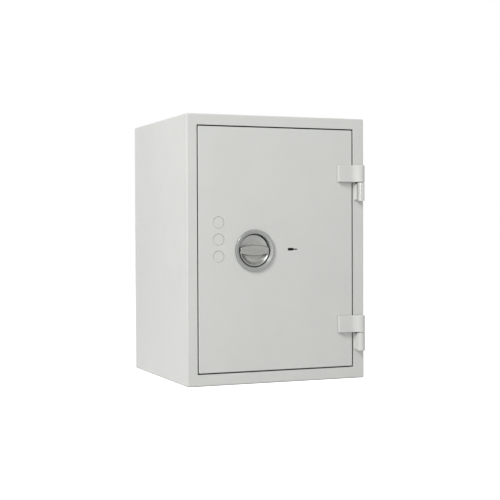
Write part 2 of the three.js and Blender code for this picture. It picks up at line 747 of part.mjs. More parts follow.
function buildBoltwork(door) {
  const slotHalf = CRANK_PIN_RADIUS + CRANK_SLOT_CLEARANCE;
  const spindleHalf = SPINDLE_RADIUS + CRANK_SLOT_CLEARANCE;
  const tongueX1 = handleX + BOLT_THROW + spindleHalf + GUIDE_GRIP;
  const pinX = handleX + BOLT_THROW / 2;
  const slotTopZ = handleZ + crankRadius + slotHalf;
  const caseTopZ = lockZ + CASE_ABOVE_KEY;
  const lugX0 = lockX + LOCK_BOLT_WIDTH / 2 + LOCK_BOLT_GAP;
  const lugX1 = lugX0 + LOCK_BOLT_WIDTH;
  const lugFoot = caseTopZ + 3;
  const armZ0 = caseTopZ + LOCK_THROW + 3;
  const y0 = carrierFrontY;
  const y1 = carrierRearY;
  add(
    door,
    'bolt_carrier',
    cut(
      join(
        box(carrierX0, carrierX1, y0, y1, carrierZ0, carrierZ1),
        box(carrierX0, tongueX1, y0, y1, handleZ - TONGUE_HALF_HEIGHT, handleZ + TONGUE_HALF_HEIGHT),
        box(carrierX0, lugX1, y0, y1, armZ0, armZ0 + CARRIER_ARM),
        box(lugX0, lugX1, y0, y1, lugFoot, armZ0 + PAST),
      ),
      box(pinX - slotHalf, pinX + slotHalf, y0 - PAST, y1 + PAST, handleZ, slotTopZ),
      box(
        handleX - spindleHalf, handleX + BOLT_THROW + spindleHalf,
        y0 - PAST, y1 + PAST,
        handleZ - spindleHalf, handleZ + spindleHalf,
      ),
    ),
    make.zinc(),
  );
  const names = ['lower', 'middle', 'upper'];
  boltZs.forEach((z, i) => {
    const tip = doorRect.x0 + PAST;
    const bolt = place(door, tip, boltY, z);
    const end = carrierX1 - GUIDE_WALL - tip;
    const flatFrom = carrierX0 - SEAT - tip;
    const r = BOLT_RADIUS;
    add(
      bolt,
      `throw_bolt_${names[i]}`,
      cut(
        rod(r, 'x', 0, end, 24),
        box(flatFrom, end + PAST, CARRIER_BEHIND_BOLT - SEAT, r + PAST, -r - PAST, r + PAST),
      ),
      make.satin(),
    );
  });
  const guideEnds = [
    { where: 'lower', end: carrierZ0, way: -1 },
    { where: 'upper', end: carrierZ1, way: 1 },
  ];
  for (const { where, end, way } of guideEnds) {
    const [z0, z1] = [end - way * GUIDE_GRIP, end + way * GUIDE_CAP].sort((a, b) => a - b);
    const [s0, s1] = [end - way * (GUIDE_GRIP + PAST), end + way * SEAT].sort((a, b) => a - b);
    const gx0 = carrierX0 - BOLT_THROW - GUIDE_WALL;
    const gx1 = carrierX1 + GUIDE_WALL;
    add(
      door,
      `carrier_guide_${where}`,
      cut(
        box(gx0, gx1, y0 - GUIDE_WALL, plateFrontY - SEAT, z0, z1),
        box(gx0 - PAST, gx1 + PAST, y0 - SEAT, y1 + SEAT, s0, s1),
      ),
      make.zinc(),
    );
  }
}

// ---------------------------------------------------------------- the key lock

function buildLock(door) {
  const lock = place(door, lockX, FRONT, lockZ);
  const half = CASE_WIDTH / 2;
  const caseFront = DOOR_SKIN + SEAT;
  const plateFront = plateFrontY - FRONT;
  const coverFront = plateFront - CASE_BACK_GAP - LOCK_COVER;
  const caseRear = coverFront - SEAT;
  const headFront = boltY - FRONT - 2;
  const slotHalf = LOCK_BOLT_WIDTH / 2 + CURTAIN_CLEARANCE;
  const wall = CASE_WALL;
  add(
    lock,
    'lock_case',
    cut(
      box(-half, half, caseFront, caseRear, -CASE_BELOW_KEY, CASE_ABOVE_KEY),
      box(-half + wall, half - wall, caseFront + wall, caseRear + PAST, wall - CASE_BELOW_KEY, CASE_ABOVE_KEY - wall),
      rod(CURTAIN_RADIUS + CURTAIN_CLEARANCE, 'y', caseFront - PAST, caseFront + wall + PAST, 28),
      box(
        -slotHalf, slotHalf,
        headFront - CURTAIN_CLEARANCE, caseRear + PAST,
        CASE_ABOVE_KEY - wall - PAST, CASE_ABOVE_KEY + PAST,
      ),
    ),
    make.zinc(),
  );
  add(
    lock,
    'lock_cover',
    box(-half, half, coverFront, coverFront + LOCK_COVER, -CASE_BELOW_KEY, CASE_ABOVE_KEY),
    make.zinc(),
  );

  const curtainFront = caseFront + SEAT;
  const curtainRear = curtainFront + CURTAIN_DEPTH;
  const tailFront = curtainRear + 2 * SEAT;
  const tailRear = caseRear - SEAT / 3;
  const pinX = lockCrankRadius * Math.cos(KEY_SWING / 2);
  const pinZ = -lockCrankRadius * Math.sin(KEY_SWING / 2);
  const pinEnd = curtainRear + CARRIER_SHEET;
  add(
    lock,
    'key_curtain',
    cut(
      join(
        rod(CURTAIN_RADIUS, 'y', curtainFront, curtainRear, 28),
        moved(rod(LOCK_PIN_RADIUS, 'y', curtainRear - PAST, pinEnd, 12), pinX, 0, pinZ),
      ),
      keyholeCutter(0, curtainFront + KEY_DEPTH),
    ),
    make.zinc(),
  );
  const slotZHalf = LOCK_PIN_RADIUS + LOCK_SLOT_CLEARANCE;
  const slotX0 = pinX - LOCK_PIN_RADIUS - 2 * LOCK_SLOT_CLEARANCE;
  const slotX1 = lockCrankRadius + LOCK_PIN_RADIUS + 2 * LOCK_SLOT_CLEARANCE;
  const tailTop = CASE_ABOVE_KEY - wall - LOCK_THROW - PAST;
  const b = LOCK_BOLT_WIDTH / 2;
  add(
    lock,
    'lock_bolt',
    cut(
      join(
        box(-LOCK_TAIL_WIDTH / 2, LOCK_TAIL_WIDTH / 2, tailFront, tailRear, -CURTAIN_RADIUS, tailTop),
        box(-b, b, headFront, tailRear, tailTop - LOCK_HEAD_ROOT, CASE_ABOVE_KEY + PAST),
      ),
      box(slotX0, slotX1, tailFront - PAST, tailRear + PAST, pinZ - slotZHalf, pinZ + slotZHalf),
    ),
    make.satin(),
  );
}

// ---------------------------------------------------------------- the assembly

const safe = new THREE.Group();
const cabinet = buildCabinet(safe);
buildShelf(cabinet);
const door = place(safe, 0, 0, 0);
buildDoor(door);
buildHinge(cabinet, door, 'lower');
buildHinge(cabinet, door, 'upper');
buildHandle(door);
buildBoltwork(door);
buildLock(door);

export default safe;
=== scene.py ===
"""Finished look of an upright document fire safe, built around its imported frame.

Metres throughout, in the frame's own axes: +Z up, the door faces -Y, the hinges are on the +X side.
"""

import logging
import math
from collections.abc import Callable, Sequence
from dataclasses import dataclass
from enum import Enum

import bmesh
import bpy
from mathutils import Matrix, Vector


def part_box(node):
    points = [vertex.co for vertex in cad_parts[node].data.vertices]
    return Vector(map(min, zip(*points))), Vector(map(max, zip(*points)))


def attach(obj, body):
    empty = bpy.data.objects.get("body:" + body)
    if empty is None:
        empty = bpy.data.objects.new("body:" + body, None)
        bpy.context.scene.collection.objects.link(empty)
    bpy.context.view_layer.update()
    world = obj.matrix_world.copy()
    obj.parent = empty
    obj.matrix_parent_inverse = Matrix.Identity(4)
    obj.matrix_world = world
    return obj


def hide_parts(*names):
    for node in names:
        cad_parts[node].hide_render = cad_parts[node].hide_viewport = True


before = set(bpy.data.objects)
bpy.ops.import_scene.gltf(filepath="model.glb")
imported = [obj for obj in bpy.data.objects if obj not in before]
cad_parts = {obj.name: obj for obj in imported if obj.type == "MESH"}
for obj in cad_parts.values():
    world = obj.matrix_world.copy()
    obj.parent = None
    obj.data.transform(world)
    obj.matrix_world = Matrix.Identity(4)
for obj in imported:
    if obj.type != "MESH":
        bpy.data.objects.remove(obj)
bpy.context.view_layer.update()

log = logging.getLogger("safe")

MM = 0.001
SEAT = 0.3 * MM  # gap that the frame keeps between pieces that touch
SAME = 1e-6  # points closer together than this are one point
NOTHING = 1e-9  # a radius smaller than this is a pole
CLEAR = 2.0 * MM  # how far a cutter runs past the skin that it cuts
BOLT_RADIUS = 10.0 * MM
BOLT_BORE = 10.5 * MM
BOLT_ROWS = ("lower", "middle", "upper")
HINGE_ROWS = ("lower", "upper")
SIDES = ("left", "right")
MOTTLE_SCALE = 7.0  # broad clouds in a coat, per metre
CHIP_SCALE = 90.0  # patches of worn edge, per metre
STREAK_STRETCH = (0.04, 1.0, 1.0)  # how little drawn lines change along X

Colour = tuple[float, float, float]
Path2D = Sequence[tuple[float, float]]
Piece = bpy.types.Object
Socket = bpy.types.NodeSocket
Sockets = dict[str, Socket]


class Body(Enum):
    """The bodies that new pieces move with."""

    CABINET = "cabinet"
    DOOR = "door"
    HANDLE = "handle"
    BOLTWORK = "boltwork"


class Slot(Enum):
    """The record's material slots."""

    PAINT = "paint"
    INNER_PAINT = "inner_paint"
    INSULATION = "insulation"
    SEAL = "seal"
    NICKEL = "handle_nickel"
    STEEL = "bright_steel"
    ZINC = "zinc"
    PLASTIC = "black_plastic"


class Along(Enum):
    """Directions that turned pieces lie along."""

    X = Vector((1, 0, 0))
    INWARD = Vector((0, 1, 0))
    UP = Vector((0, 0, 1))


# ------------------------------------------------------------------ outlines and meshes


@dataclass(frozen=True)
class Rect:
    """An upright rectangle seen from the front."""

    x0: float
    x1: float
    z0: float
    z1: float

    def inset(self, by: float) -> "Rect":
        """Returns the rectangle shrunk by a distance on all four sides."""
        return Rect(self.x0 + by, self.x1 - by, self.z0 + by, self.z1 - by)

    def points(self, radius: float, y: float, steps: int = 5) -> list[Vector]:
        """Lists the outline's points, with rounded corners.

        Args:
            radius: Corner radius.
            y: Depth at which the outline lies.
            steps: Number of segments in each corner.

        Returns:
            The points in order round the outline.
        """
        r = max(radius, 0.05 * MM)
        corners = (
            (self.x1 - r, self.z1 - r),
            (self.x0 + r, self.z1 - r),
            (self.x0 + r, self.z0 + r),
            (self.x1 - r, self.z0 + r),
        )
        out = []
        for quarter, (cx, cz) in enumerate(corners):
            for k in range(steps + 1):
                a = 0.5 * math.pi * (quarter + k / steps)
                out.append(Vector((cx + r * math.cos(a), y, cz + r * math.sin(a))))
        return out


Sections = list[tuple[Rect, float, float]]


def rect_of(node: str) -> Rect:
    """Returns the front-view rectangle that a CAD node fills."""
    low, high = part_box(node)
    return Rect(low.x, high.x, low.z, high.z)


def middle(node: str) -> Vector:
    """Returns the middle of a CAD node's box."""
    low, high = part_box(node)
    return (low + high) / 2


def rounded_path(
    corners: Sequence[tuple[float, float, float]], steps: int = 5, closed: bool = False
) -> Path2D:
    """Rounds the corners of a path.

    Args:
        corners: The path's corners as (u, v, radius).
        steps: Number of segments in each rounded corner.
        closed: Whether the last corner joins the first.

    Returns:
        The points of the path as (u, v).
    """
    out: list[tuple[float, float]] = []
    count = len(corners)
    for i, (u, v, radius) in enumerate(corners):
        if radius <= 0 or (not closed and i in (0, count - 1)):
            out.append((u, v))
            continue
        here = Vector((u, v))
        back = (Vector(corners[i - 1][:2]) - here).normalized()
        ahead = (Vector(corners[(i + 1) % count][:2]) - here).normalized()
        half = back.angle(ahead) / 2
        centre = here + (back + ahead).normalized() * (radius / math.sin(half))
        start = here + back * (radius / math.tan(half)) - centre
        end = here + ahead * (radius / math.tan(half)) - centre
        turn = start.angle_signed(end)
        for k in range(steps + 1):
            c, s = math.cos(-turn * k / steps), math.sin(-turn * k / steps)
            out.append((centre.x + start.x * c - start.y * s, centre.y + start.x * s + start.y * c))
    return out


def link(name: str, mesh: bpy.types.Mesh) -> Piece:
    """Puts a mesh into the scene.

    Args:
        name: The object's name.
        mesh: Its mesh.

    Returns:
        The object, at the origin.
    """
    piece = bpy.data.objects.new(name, mesh)
    bpy.context.scene.collection.objects.link(piece)
    return piece


def link_shape(name: str, shape: bmesh.types.BMesh) -> Piece:
    """Turns a working mesh into an object, and frees it.

    Args:
        name: The object's name.
        shape: The working mesh.

    Returns:
        The object, at the origin.
    """
    mesh = bpy.data.meshes.new(name)
    shape.to_mesh(mesh)
    shape.free()
    return link(name, mesh)


def close_up(shape: bmesh.types.BMesh) -> None:
    """Merges a working mesh's doubled points and turns its faces outwards."""
    bmesh.ops.remove_doubles(shape, verts=shape.verts, dist=SAME)
    bmesh.ops.recalc_face_normals(shape, faces=shape.faces)


def settle(piece: Piece) -> Piece:
    """Turns a piece and its modifiers into one plain mesh.

    Args:
        piece: The object whose modifiers are applied.

    Returns:
        The same object, without modifiers.
    """
    graph = bpy.context.evaluated_depsgraph_get()
    mesh = bpy.data.meshes.new_from_object(piece.evaluated_get(graph), depsgraph=graph)
    mesh.name = piece.name
    piece.modifiers.clear()
    piece.data = mesh
    return piece


def smooth(piece: Piece, sharp: float = 35.0) -> Piece:
    """Shades a piece smooth, with sharp edges and flat faces left as they are.

    Args:
        piece: The object to shade.
        sharp: Angle in degrees above which an edge stays sharp.

    Returns:
        The same object.
    """
    piece.data.shade_smooth()
    piece.data.set_sharp_from_angle(angle=math.radians(sharp))
    weighted = piece.modifiers.new("flat_faces", "WEIGHTED_NORMAL")
    weighted.keep_sharp = True
    return settle(piece)


class Skin:
    """A closed mesh made of loops of points, bands between loops, and filled caps."""

    def __init__(self) -> None:
        """Starts an empty mesh."""
        self.bm = bmesh.new()

    def loop(self, points: Sequence[Vector]) -> list[bmesh.types.BMVert]:
        """Adds a loop of points and returns its vertices."""
        return [self.bm.verts.new(p) for p in points]

    def band(self, first: list, second: list, closed: bool = True) -> None:
        """Joins two loops with a band of faces.

        Args:
            first: Vertices of one loop, or a single vertex for a pole.
            second: Vertices of the next loop, or a single vertex.
            closed: Whether the loops close on themselves.
        """
        count = max(len(first), len(second))
        for i in range(count if closed else count - 1):
            j = (i + 1) % count
            ring = (
                first[i % len(first)],
                first[j % len(first)],
                second[j % len(second)],
                second[i % len(second)],
            )
            unique = list(dict.fromkeys(ring))
            if len(unique) > 2:
                self.bm.faces.new(unique)

    def bands(self, loops: Sequence[list], joined: bool = False, closed: bool = True) -> None:
        """Joins a run of loops.

        Args:
            loops: The loops in order.
            joined: Whether the last loop joins the first.
            closed: Whether each loop closes on itself.
        """
        for a, b in zip(loops, loops[1:]):
            self.band(a, b, closed)
        if joined:
            self.band(loops[-1], loops[0], closed)

    def cap(self, *loops: list) -> None:
        """Fills each flat loop with one face."""
        for loop in loops:
            self.bm.faces.new(loop)

    def piece(self, name: str, sharp: float = 35.0, bores: Sequence[Piece] = ()) -> Piece:
        """Finishes the mesh as an object at the origin.

        Args:
            name: The piece's name.
            sharp: Angle in degrees above which an edge shades sharp.
            bores: Shapes to cut out of it, which are removed afterwards.

        Returns:
            The new object.
        """
        close_up(self.bm)
        piece = link_shape(name, self.bm)
        for bore in bores:
            cut = piece.modifiers.new("bore", "BOOLEAN")
            cut.object = bore
            settle(piece)
            bpy.data.objects.remove(bore)
        return smooth(piece, sharp)


def lofted(name: str, sections: Sections, capped: bool = False, bores: Sequence[Piece] = ()) -> Piece:
    """Builds folded sheet metal from rectangles that follow its section.

    Args:
        name: The piece's name.
        sections: Each step along the section as (rectangle, corner radius, depth).
        capped: Whether the first and last rectangles are filled, as on a pan. If not, they are
            joined, as on a frame.
        bores: Shapes to cut out of it.

    Returns:
        The new object.
    """
    skin = Skin()
    loops = [skin.loop(r.points(radius, y)) for r, radius, y in sections]
    skin.bands(loops, joined=not capped)
    if capped:
        skin.cap(loops[0], loops[-1])
    return skin.piece(name, bores=bores)


def folded(base: Rect, corner: float, path: Path2D, least: float = 0.3 * MM) -> Sections:
    """Turns a section path of (inset, depth) into sections about a rectangle.

    Args:
        base: The rectangle that insets are measured from.
        corner: Corner radius at inset zero.
        path: Points of the section as (inset, depth).
        least: Smallest corner radius.

    Returns:
        The sections for lofted().
    """
    return [(base.inset(inset), max(corner - inset, least), y) for inset, y in path]


def rod_cutter(centre: Vector, along: Along, radius: float, reach: float) -> Piece:
    """Makes a round cutter.

    Args:
        centre: Its middle.
        along: Its direction.
        radius: Its radius.
        reach: How far it runs either way from the middle.

    Returns:
        The cutter.
    """
    shape = bmesh.new()
    sizes = {"radius1": radius, "radius2": radius, "depth": 2 * reach}
    bmesh.ops.create_cone(shape, cap_ends=True, segments=48, **sizes)
    turn = Along.UP.value.rotation_difference(along.value).to_matrix().to_4x4()
    bmesh.ops.transform(shape, matrix=Matrix.Translation(centre) @ turn, verts=shape.verts)
    return link_shape("cutter", shape)


def box_cutter(low: Vector, high: Vector) -> Piece:
    """Makes a square-edged cutter.

    Args:
        low: Its lowest corner.
        high: Its highest corner.

    Returns:
        The cutter.
    """
    shape = bmesh.new()
    size = Matrix.Diagonal((*(high - low), 1.0))
    bmesh.ops.create_cube(shape, size=1, matrix=Matrix.Translation((low + high) / 2) @ size)
    return link_shape("cutter", shape)


def bolt_bores(throw_x: float, dog_x: float, dog_bore: float, reach: float) -> list[Piece]:
    """Makes the cutters for the bolts' holes in the door's sides or in its frame.

    Args:
        throw_x: Where the throw bolts' side lies.
        dog_x: Where the fixed bolts' side lies.
        dog_bore: Radius of the fixed bolts' holes.
        reach: How far each cutter runs either way.

    Returns:
        The cutters.
    """
    cutters = []
    for row in BOLT_ROWS:
        low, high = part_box(f"throw_bolt_{row}")
        centre = Vector((throw_x, low.y + BOLT_RADIUS, (low.z + high.z) / 2))
        cutters.append(rod_cutter(centre, Along.X, BOLT_BORE, reach))
    for row in HINGE_ROWS:
        centre = middle(f"dog_bolt_{row}")
        centre.x = dog_x
        cutters.append(rod_cutter(centre, Along.X, dog_bore, reach))
    return cutters


def turned(
    name: str,
    path: Path2D,
    origin: Vector,
    along: Along,
    sides: int = 64,
    bores: Sequence[Piece] = (),
) -> Piece:
    """Turns a closed outline about an axis.

    Args:
        name: The piece's name.
        path: Outline as (radius, distance along the axis).
        origin: Where the axis starts.
        along: The axis direction.
        sides: Number of segments round the axis.
        bores: Shapes to cut out of it.

    Returns:
        The new object.
    """
    axis = along.value
    across = Along.X.value if along is Along.UP else Along.UP.value
    other = axis.cross(across)
    skin = Skin()
    loops = []
    for radius, height in path:
        centre = origin + axis * height
        if radius < NOTHING:
            loops.append(skin.loop([centre]))
            continue
        turns = (2 * math.pi * k / sides for k in range(sides))
        spokes = (across * math.cos(a) + other * math.sin(a) for a in turns)
        loops.append(skin.loop([centre + spoke * radius for spoke in spokes]))
    skin.bands(loops, joined=len(loops[0]) > 1)
    return skin.piece(name, bores=bores)


def prism(
    name: str, outline: Path2D, along: Along, start: float, end: float, edge: float = 0.0
) -> Piece:
    """Extrudes an outline, with rounded rims.

    Args:
        name: The piece's name.
        outline: Points of the outline, (x, y) when upright or (y, z) along X.
        along: The extrusion's direction.
        start: Where the extrusion starts.
        end: Where it ends.
        edge: Radius of the rounding at both rims.

    Returns:
        The new object.
    """
    curve = bpy.data.curves.new(name, "CURVE")
    curve.dimensions = "2D"
    curve.fill_mode = "BOTH"
    spline = curve.splines.new("POLY")
    spline.points.add(len(outline) - 1)
    for point, (u, v) in zip(spline.points, outline):
        point.co = (u, v, 0, 1)
    spline.use_cyclic_u = True
    curve.extrude = (end - start) / 2 - edge
    curve.bevel_depth = edge
    curve.bevel_resolution = 4
    curve.offset = -edge
    maker = link(name, curve)
    graph = bpy.context.evaluated_depsgraph_get()
    mesh = bpy.data.meshes.new_from_object(maker.evaluated_get(graph))
    bpy.data.objects.remove(maker)
    bpy.data.curves.remove(curve)
    mesh.transform(Matrix.Translation((0, 0, (start + end) / 2)))
    if along is Along.X:
        mesh.transform(Matrix(((0, 0, 1, 0), (1, 0, 0, 0), (0, 1, 0, 0), (0, 0, 0, 1))))
    shape = bmesh.new()
    shape.from_mesh(mesh)
    close_up(shape)
    return smooth(link_shape(name, shape))


def softened(name: str, node: str, radius: float) -> Piece:
    """Copies a CAD node and rounds its edges.

    Args:
        name: The new piece's name.
        node: The CAD node to copy.
        radius: Width of the rounding.

    Returns:
        The new object.
    """
    shape = bmesh.new()
    shape.from_mesh(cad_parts[node].data)
    bmesh.ops.remove_doubles(shape, verts=shape.verts, dist=SAME)
    flat, crease = math.radians(1), math.radians(40)
    bmesh.ops.dissolve_limit(shape, angle_limit=flat, verts=shape.verts, edges=shape.edges)
    piece = link_shape(name, shape)
    bevel = piece.modifiers.new("rounding", "BEVEL")
    bevel.width = radius
    bevel.segments = 2
    bevel.limit_method = "ANGLE"
    bevel.angle_limit = crease
    return smooth(settle(piece))


# ------------------------------------------------------------------ node wiring


class Wiring:
    """Adds nodes to a tree and joins them."""

    def __init__(self, tree: bpy.types.NodeTree) -> None:
        """Keeps the tree that nodes are added to."""
        self.tree = tree

    def add(self, kind: str, inputs: dict | None = None, **settings: object) -> bpy.types.Node:
        """Adds one node.

        Args:
            kind: The node's type name.
            inputs: Values or source sockets, by input name or number.
            **settings: The node's own properties.

        Returns:
            The new node.
        """
        node = self.tree.nodes.new(kind)
        for key, value in settings.items():
            setattr(node, key, value)
        self.feed(node, inputs or {})
        return node

    def feed(self, node: bpy.types.Node, inputs: dict) -> None:
        """Sets or joins some of a node's inputs.

        Args:
            node: The node.
            inputs: Values or source sockets, by input name or number.
        """
        for key, value in inputs.items():
            if isinstance(value, Socket):
                self.tree.links.new(value, node.inputs[key])
            else:
                node.inputs[key].default_value = value

    def group(self, tree: bpy.types.NodeTree, **inputs: object) -> list[Socket]:
        """Adds one of the shared effect groups.

        Args:
            tree: The group.
            **inputs: Its inputs, with underscores for spaces.

        Returns:
            The sockets that it puts out.
        """
        values = {key.replace("_", " "): value for key, value in inputs.items()}
        return list(self.add("ShaderNodeGroup", values, node_tree=tree).outputs)

    def maths(self, operation: str, a: object, b: object = 0.0, clamp: bool = False) -> Socket:
        """Adds a Math node.

        Args:
            operation: What it does.
            a: Its first value or source.
            b: Its second.
            clamp: Whether the result stays between 0 and 1.

        Returns:
            The result.
        """
        return self.add("ShaderNodeMath", {0: a, 1: b}, operation=operation, use_clamp=clamp).outputs[0]

    def vector(self, operation: str, *inputs: object) -> bpy.types.Node:
        """Adds a Vector Math node with its inputs in order."""
        return self.add("ShaderNodeVectorMath", dict(enumerate(inputs)), operation=operation)

    def noise(self, vector: Socket, scale: object, detail: float, rough: float = 0.5) -> Socket:
        """Adds a Noise Texture.

        Args:
            vector: Where it is read.
            scale: Its scale, or a socket that gives it.
            detail: Number of finer layers.
            rough: Strength of the finer layers.

        Returns:
            Its value.
        """
        inputs = {"Vector": vector, "Scale": scale, "Detail": detail, "Roughness": rough}
        return self.add("ShaderNodeTexNoise", inputs).outputs["Fac"]

    def sized(self, vector: Socket, size: Socket, detail: float, rough: float = 0.5) -> Socket:
        """Adds a Noise Texture whose scale is given as the size of its features."""
        return self.noise(vector, self.maths("DIVIDE", 1.0, size), detail, rough)

    def span(self, value: Socket, low: float, high: float, floor: float = 0.0) -> Socket:
        """Maps a value's span to the span up to 1, smoothly and clamped.

        Args:
            value: The value.
            low: Where the span starts.
            high: Where it ends.
            floor: What the start maps to.

        Returns:
            The mapped value.
        """
        inputs = {"Value": value, 1: low, 2: high, 3: floor, 4: 1.0}
        node = self.add("ShaderNodeMapRange", inputs, interpolation_type="SMOOTHSTEP", clamp=True)
        return node.outputs["Result"]

    def blend(self, factor: Socket, first: object, second: Colour, share: float = 1.0) -> Socket:
        """Mixes two colours.

        Args:
            factor: How much of the second colour there is.
            first: The first colour, or a socket that gives it.
            second: The second colour.
            share: Most of the second colour that there can be.

        Returns:
            The mixed colour.
        """
        if share != 1.0:
            factor = self.maths("MULTIPLY", factor, share)
        if not isinstance(first, Socket):
            first = (*first, 1.0)
        inputs = {0: factor, 6: first, 7: (*second, 1.0)}
        return self.add("ShaderNodeMix", inputs, data_type="RGBA").outputs[2]


class RowTree:
    """A Geometry Nodes tree that repeats a template in rows and columns."""

    INPUTS = (
        ("Template", "Object"),
        ("Rows", "Int"),
        ("Columns", "Int"),
        ("Row Step", "Vector"),
        ("Column Step", "Vector"),
        ("First", "Vector"),
        ("Weld", "Float"),
        ("Material", "Material"),
    )

    def __init__(self) -> None:
        """Builds the tree with its named inputs and its one output."""
        self.tree = bpy.data.node_groups.new("repeat_in_rows", "GeometryNodeTree")
        face = self.tree.interface
        for label, kind in self.INPUTS:
            face.new_socket(name=label, in_out="INPUT", socket_type=f"NodeSocket{kind}")
        face.new_socket(name="Geometry", in_out="OUTPUT", socket_type="NodeSocketGeometry")
        self._wire(Wiring(self.tree))

    @staticmethod
    def _wire(wiring: Wiring) -> None:
        """Places one copy of the template on each point and welds the copies together.

        Args:
            wiring: The tree's wiring.
        """
        given = wiring.add("NodeGroupInput").outputs
        index = wiring.add("GeometryNodeInputIndex").outputs[0]
        column = wiring.maths("MODULO", index, given["Columns"])
        row = wiring.maths("FLOOR", wiring.maths("DIVIDE", index, given["Columns"]))
        down = wiring.vector("MULTIPLY_ADD", given["Row Step"], row, given["First"]).outputs[0]
        place = wiring.vector("MULTIPLY_ADD", given["Column Step"], column, down).outputs[0]
        count = wiring.maths("MULTIPLY", given["Rows"], given["Columns"])
        points = wiring.add("GeometryNodePoints", {"Count": count, "Position": place})
        template = wiring.add("GeometryNodeObjectInfo", {"Object": given["Template"]})
        inputs = {"Points": points.outputs[0], "Instance": template.outputs["Geometry"]}
        copies = wiring.add("GeometryNodeInstanceOnPoints", inputs)
        real = wiring.add("GeometryNodeRealizeInstances", {0: copies.outputs[0]})
        inputs = {"Geometry": real.outputs[0], "Distance": given["Weld"]}
        weld = wiring.add("GeometryNodeMergeByDistance", inputs)
        inputs = {"Geometry": weld.outputs[0], "Material": given["Material"]}
        coat = wiring.add("GeometryNodeSetMaterial", inputs)
        wiring.add("NodeGroupOutput", {"Geometry": coat.outputs[0]})

    def repeat(
        self,
        name: str,
        template: Piece,
        material: bpy.types.Material,
        ends: tuple[Vector, Vector],
        rows: int,
        columns: int = 2,
        weld: float = 0.0,
    ) -> Piece:
        """Repeats a template evenly and makes the copies one plain mesh.

        Args:
            name: The new piece's name.
            template: The object to repeat; it is removed afterwards.
            material: The copies' material.
            ends: Places of the first copy and the last.
            rows: Number of rows, from bottom to top.
            columns: Number of columns.
            weld: Distance within which points of neighbouring copies join.

        Returns:
            The new object.
        """
        first, last = ends
        reach = last - first
        piece = link(name, bpy.data.meshes.new(name))
        maker = piece.modifiers.new("rows", "NODES")
        maker.node_group = self.tree
        values = {
            "Template": template,
            "Rows": rows,
            "Columns": columns,
            "Row Step": Vector((0, 0, reach.z / (rows - 1))),
            "Column Step": Vector((reach.x, reach.y, 0)) / (columns - 1),
            "First": first,
            "Weld": weld,
            "Material": material,
        }
        for item in self.tree.interface.items_tree:
            if item.name in values and item.in_out == "INPUT":
                maker[item.identifier] = values[item.name]
        settle(piece)
        bpy.data.objects.remove(template)
        return smooth(piece)


# ------------------------------------------------------------------ finishes


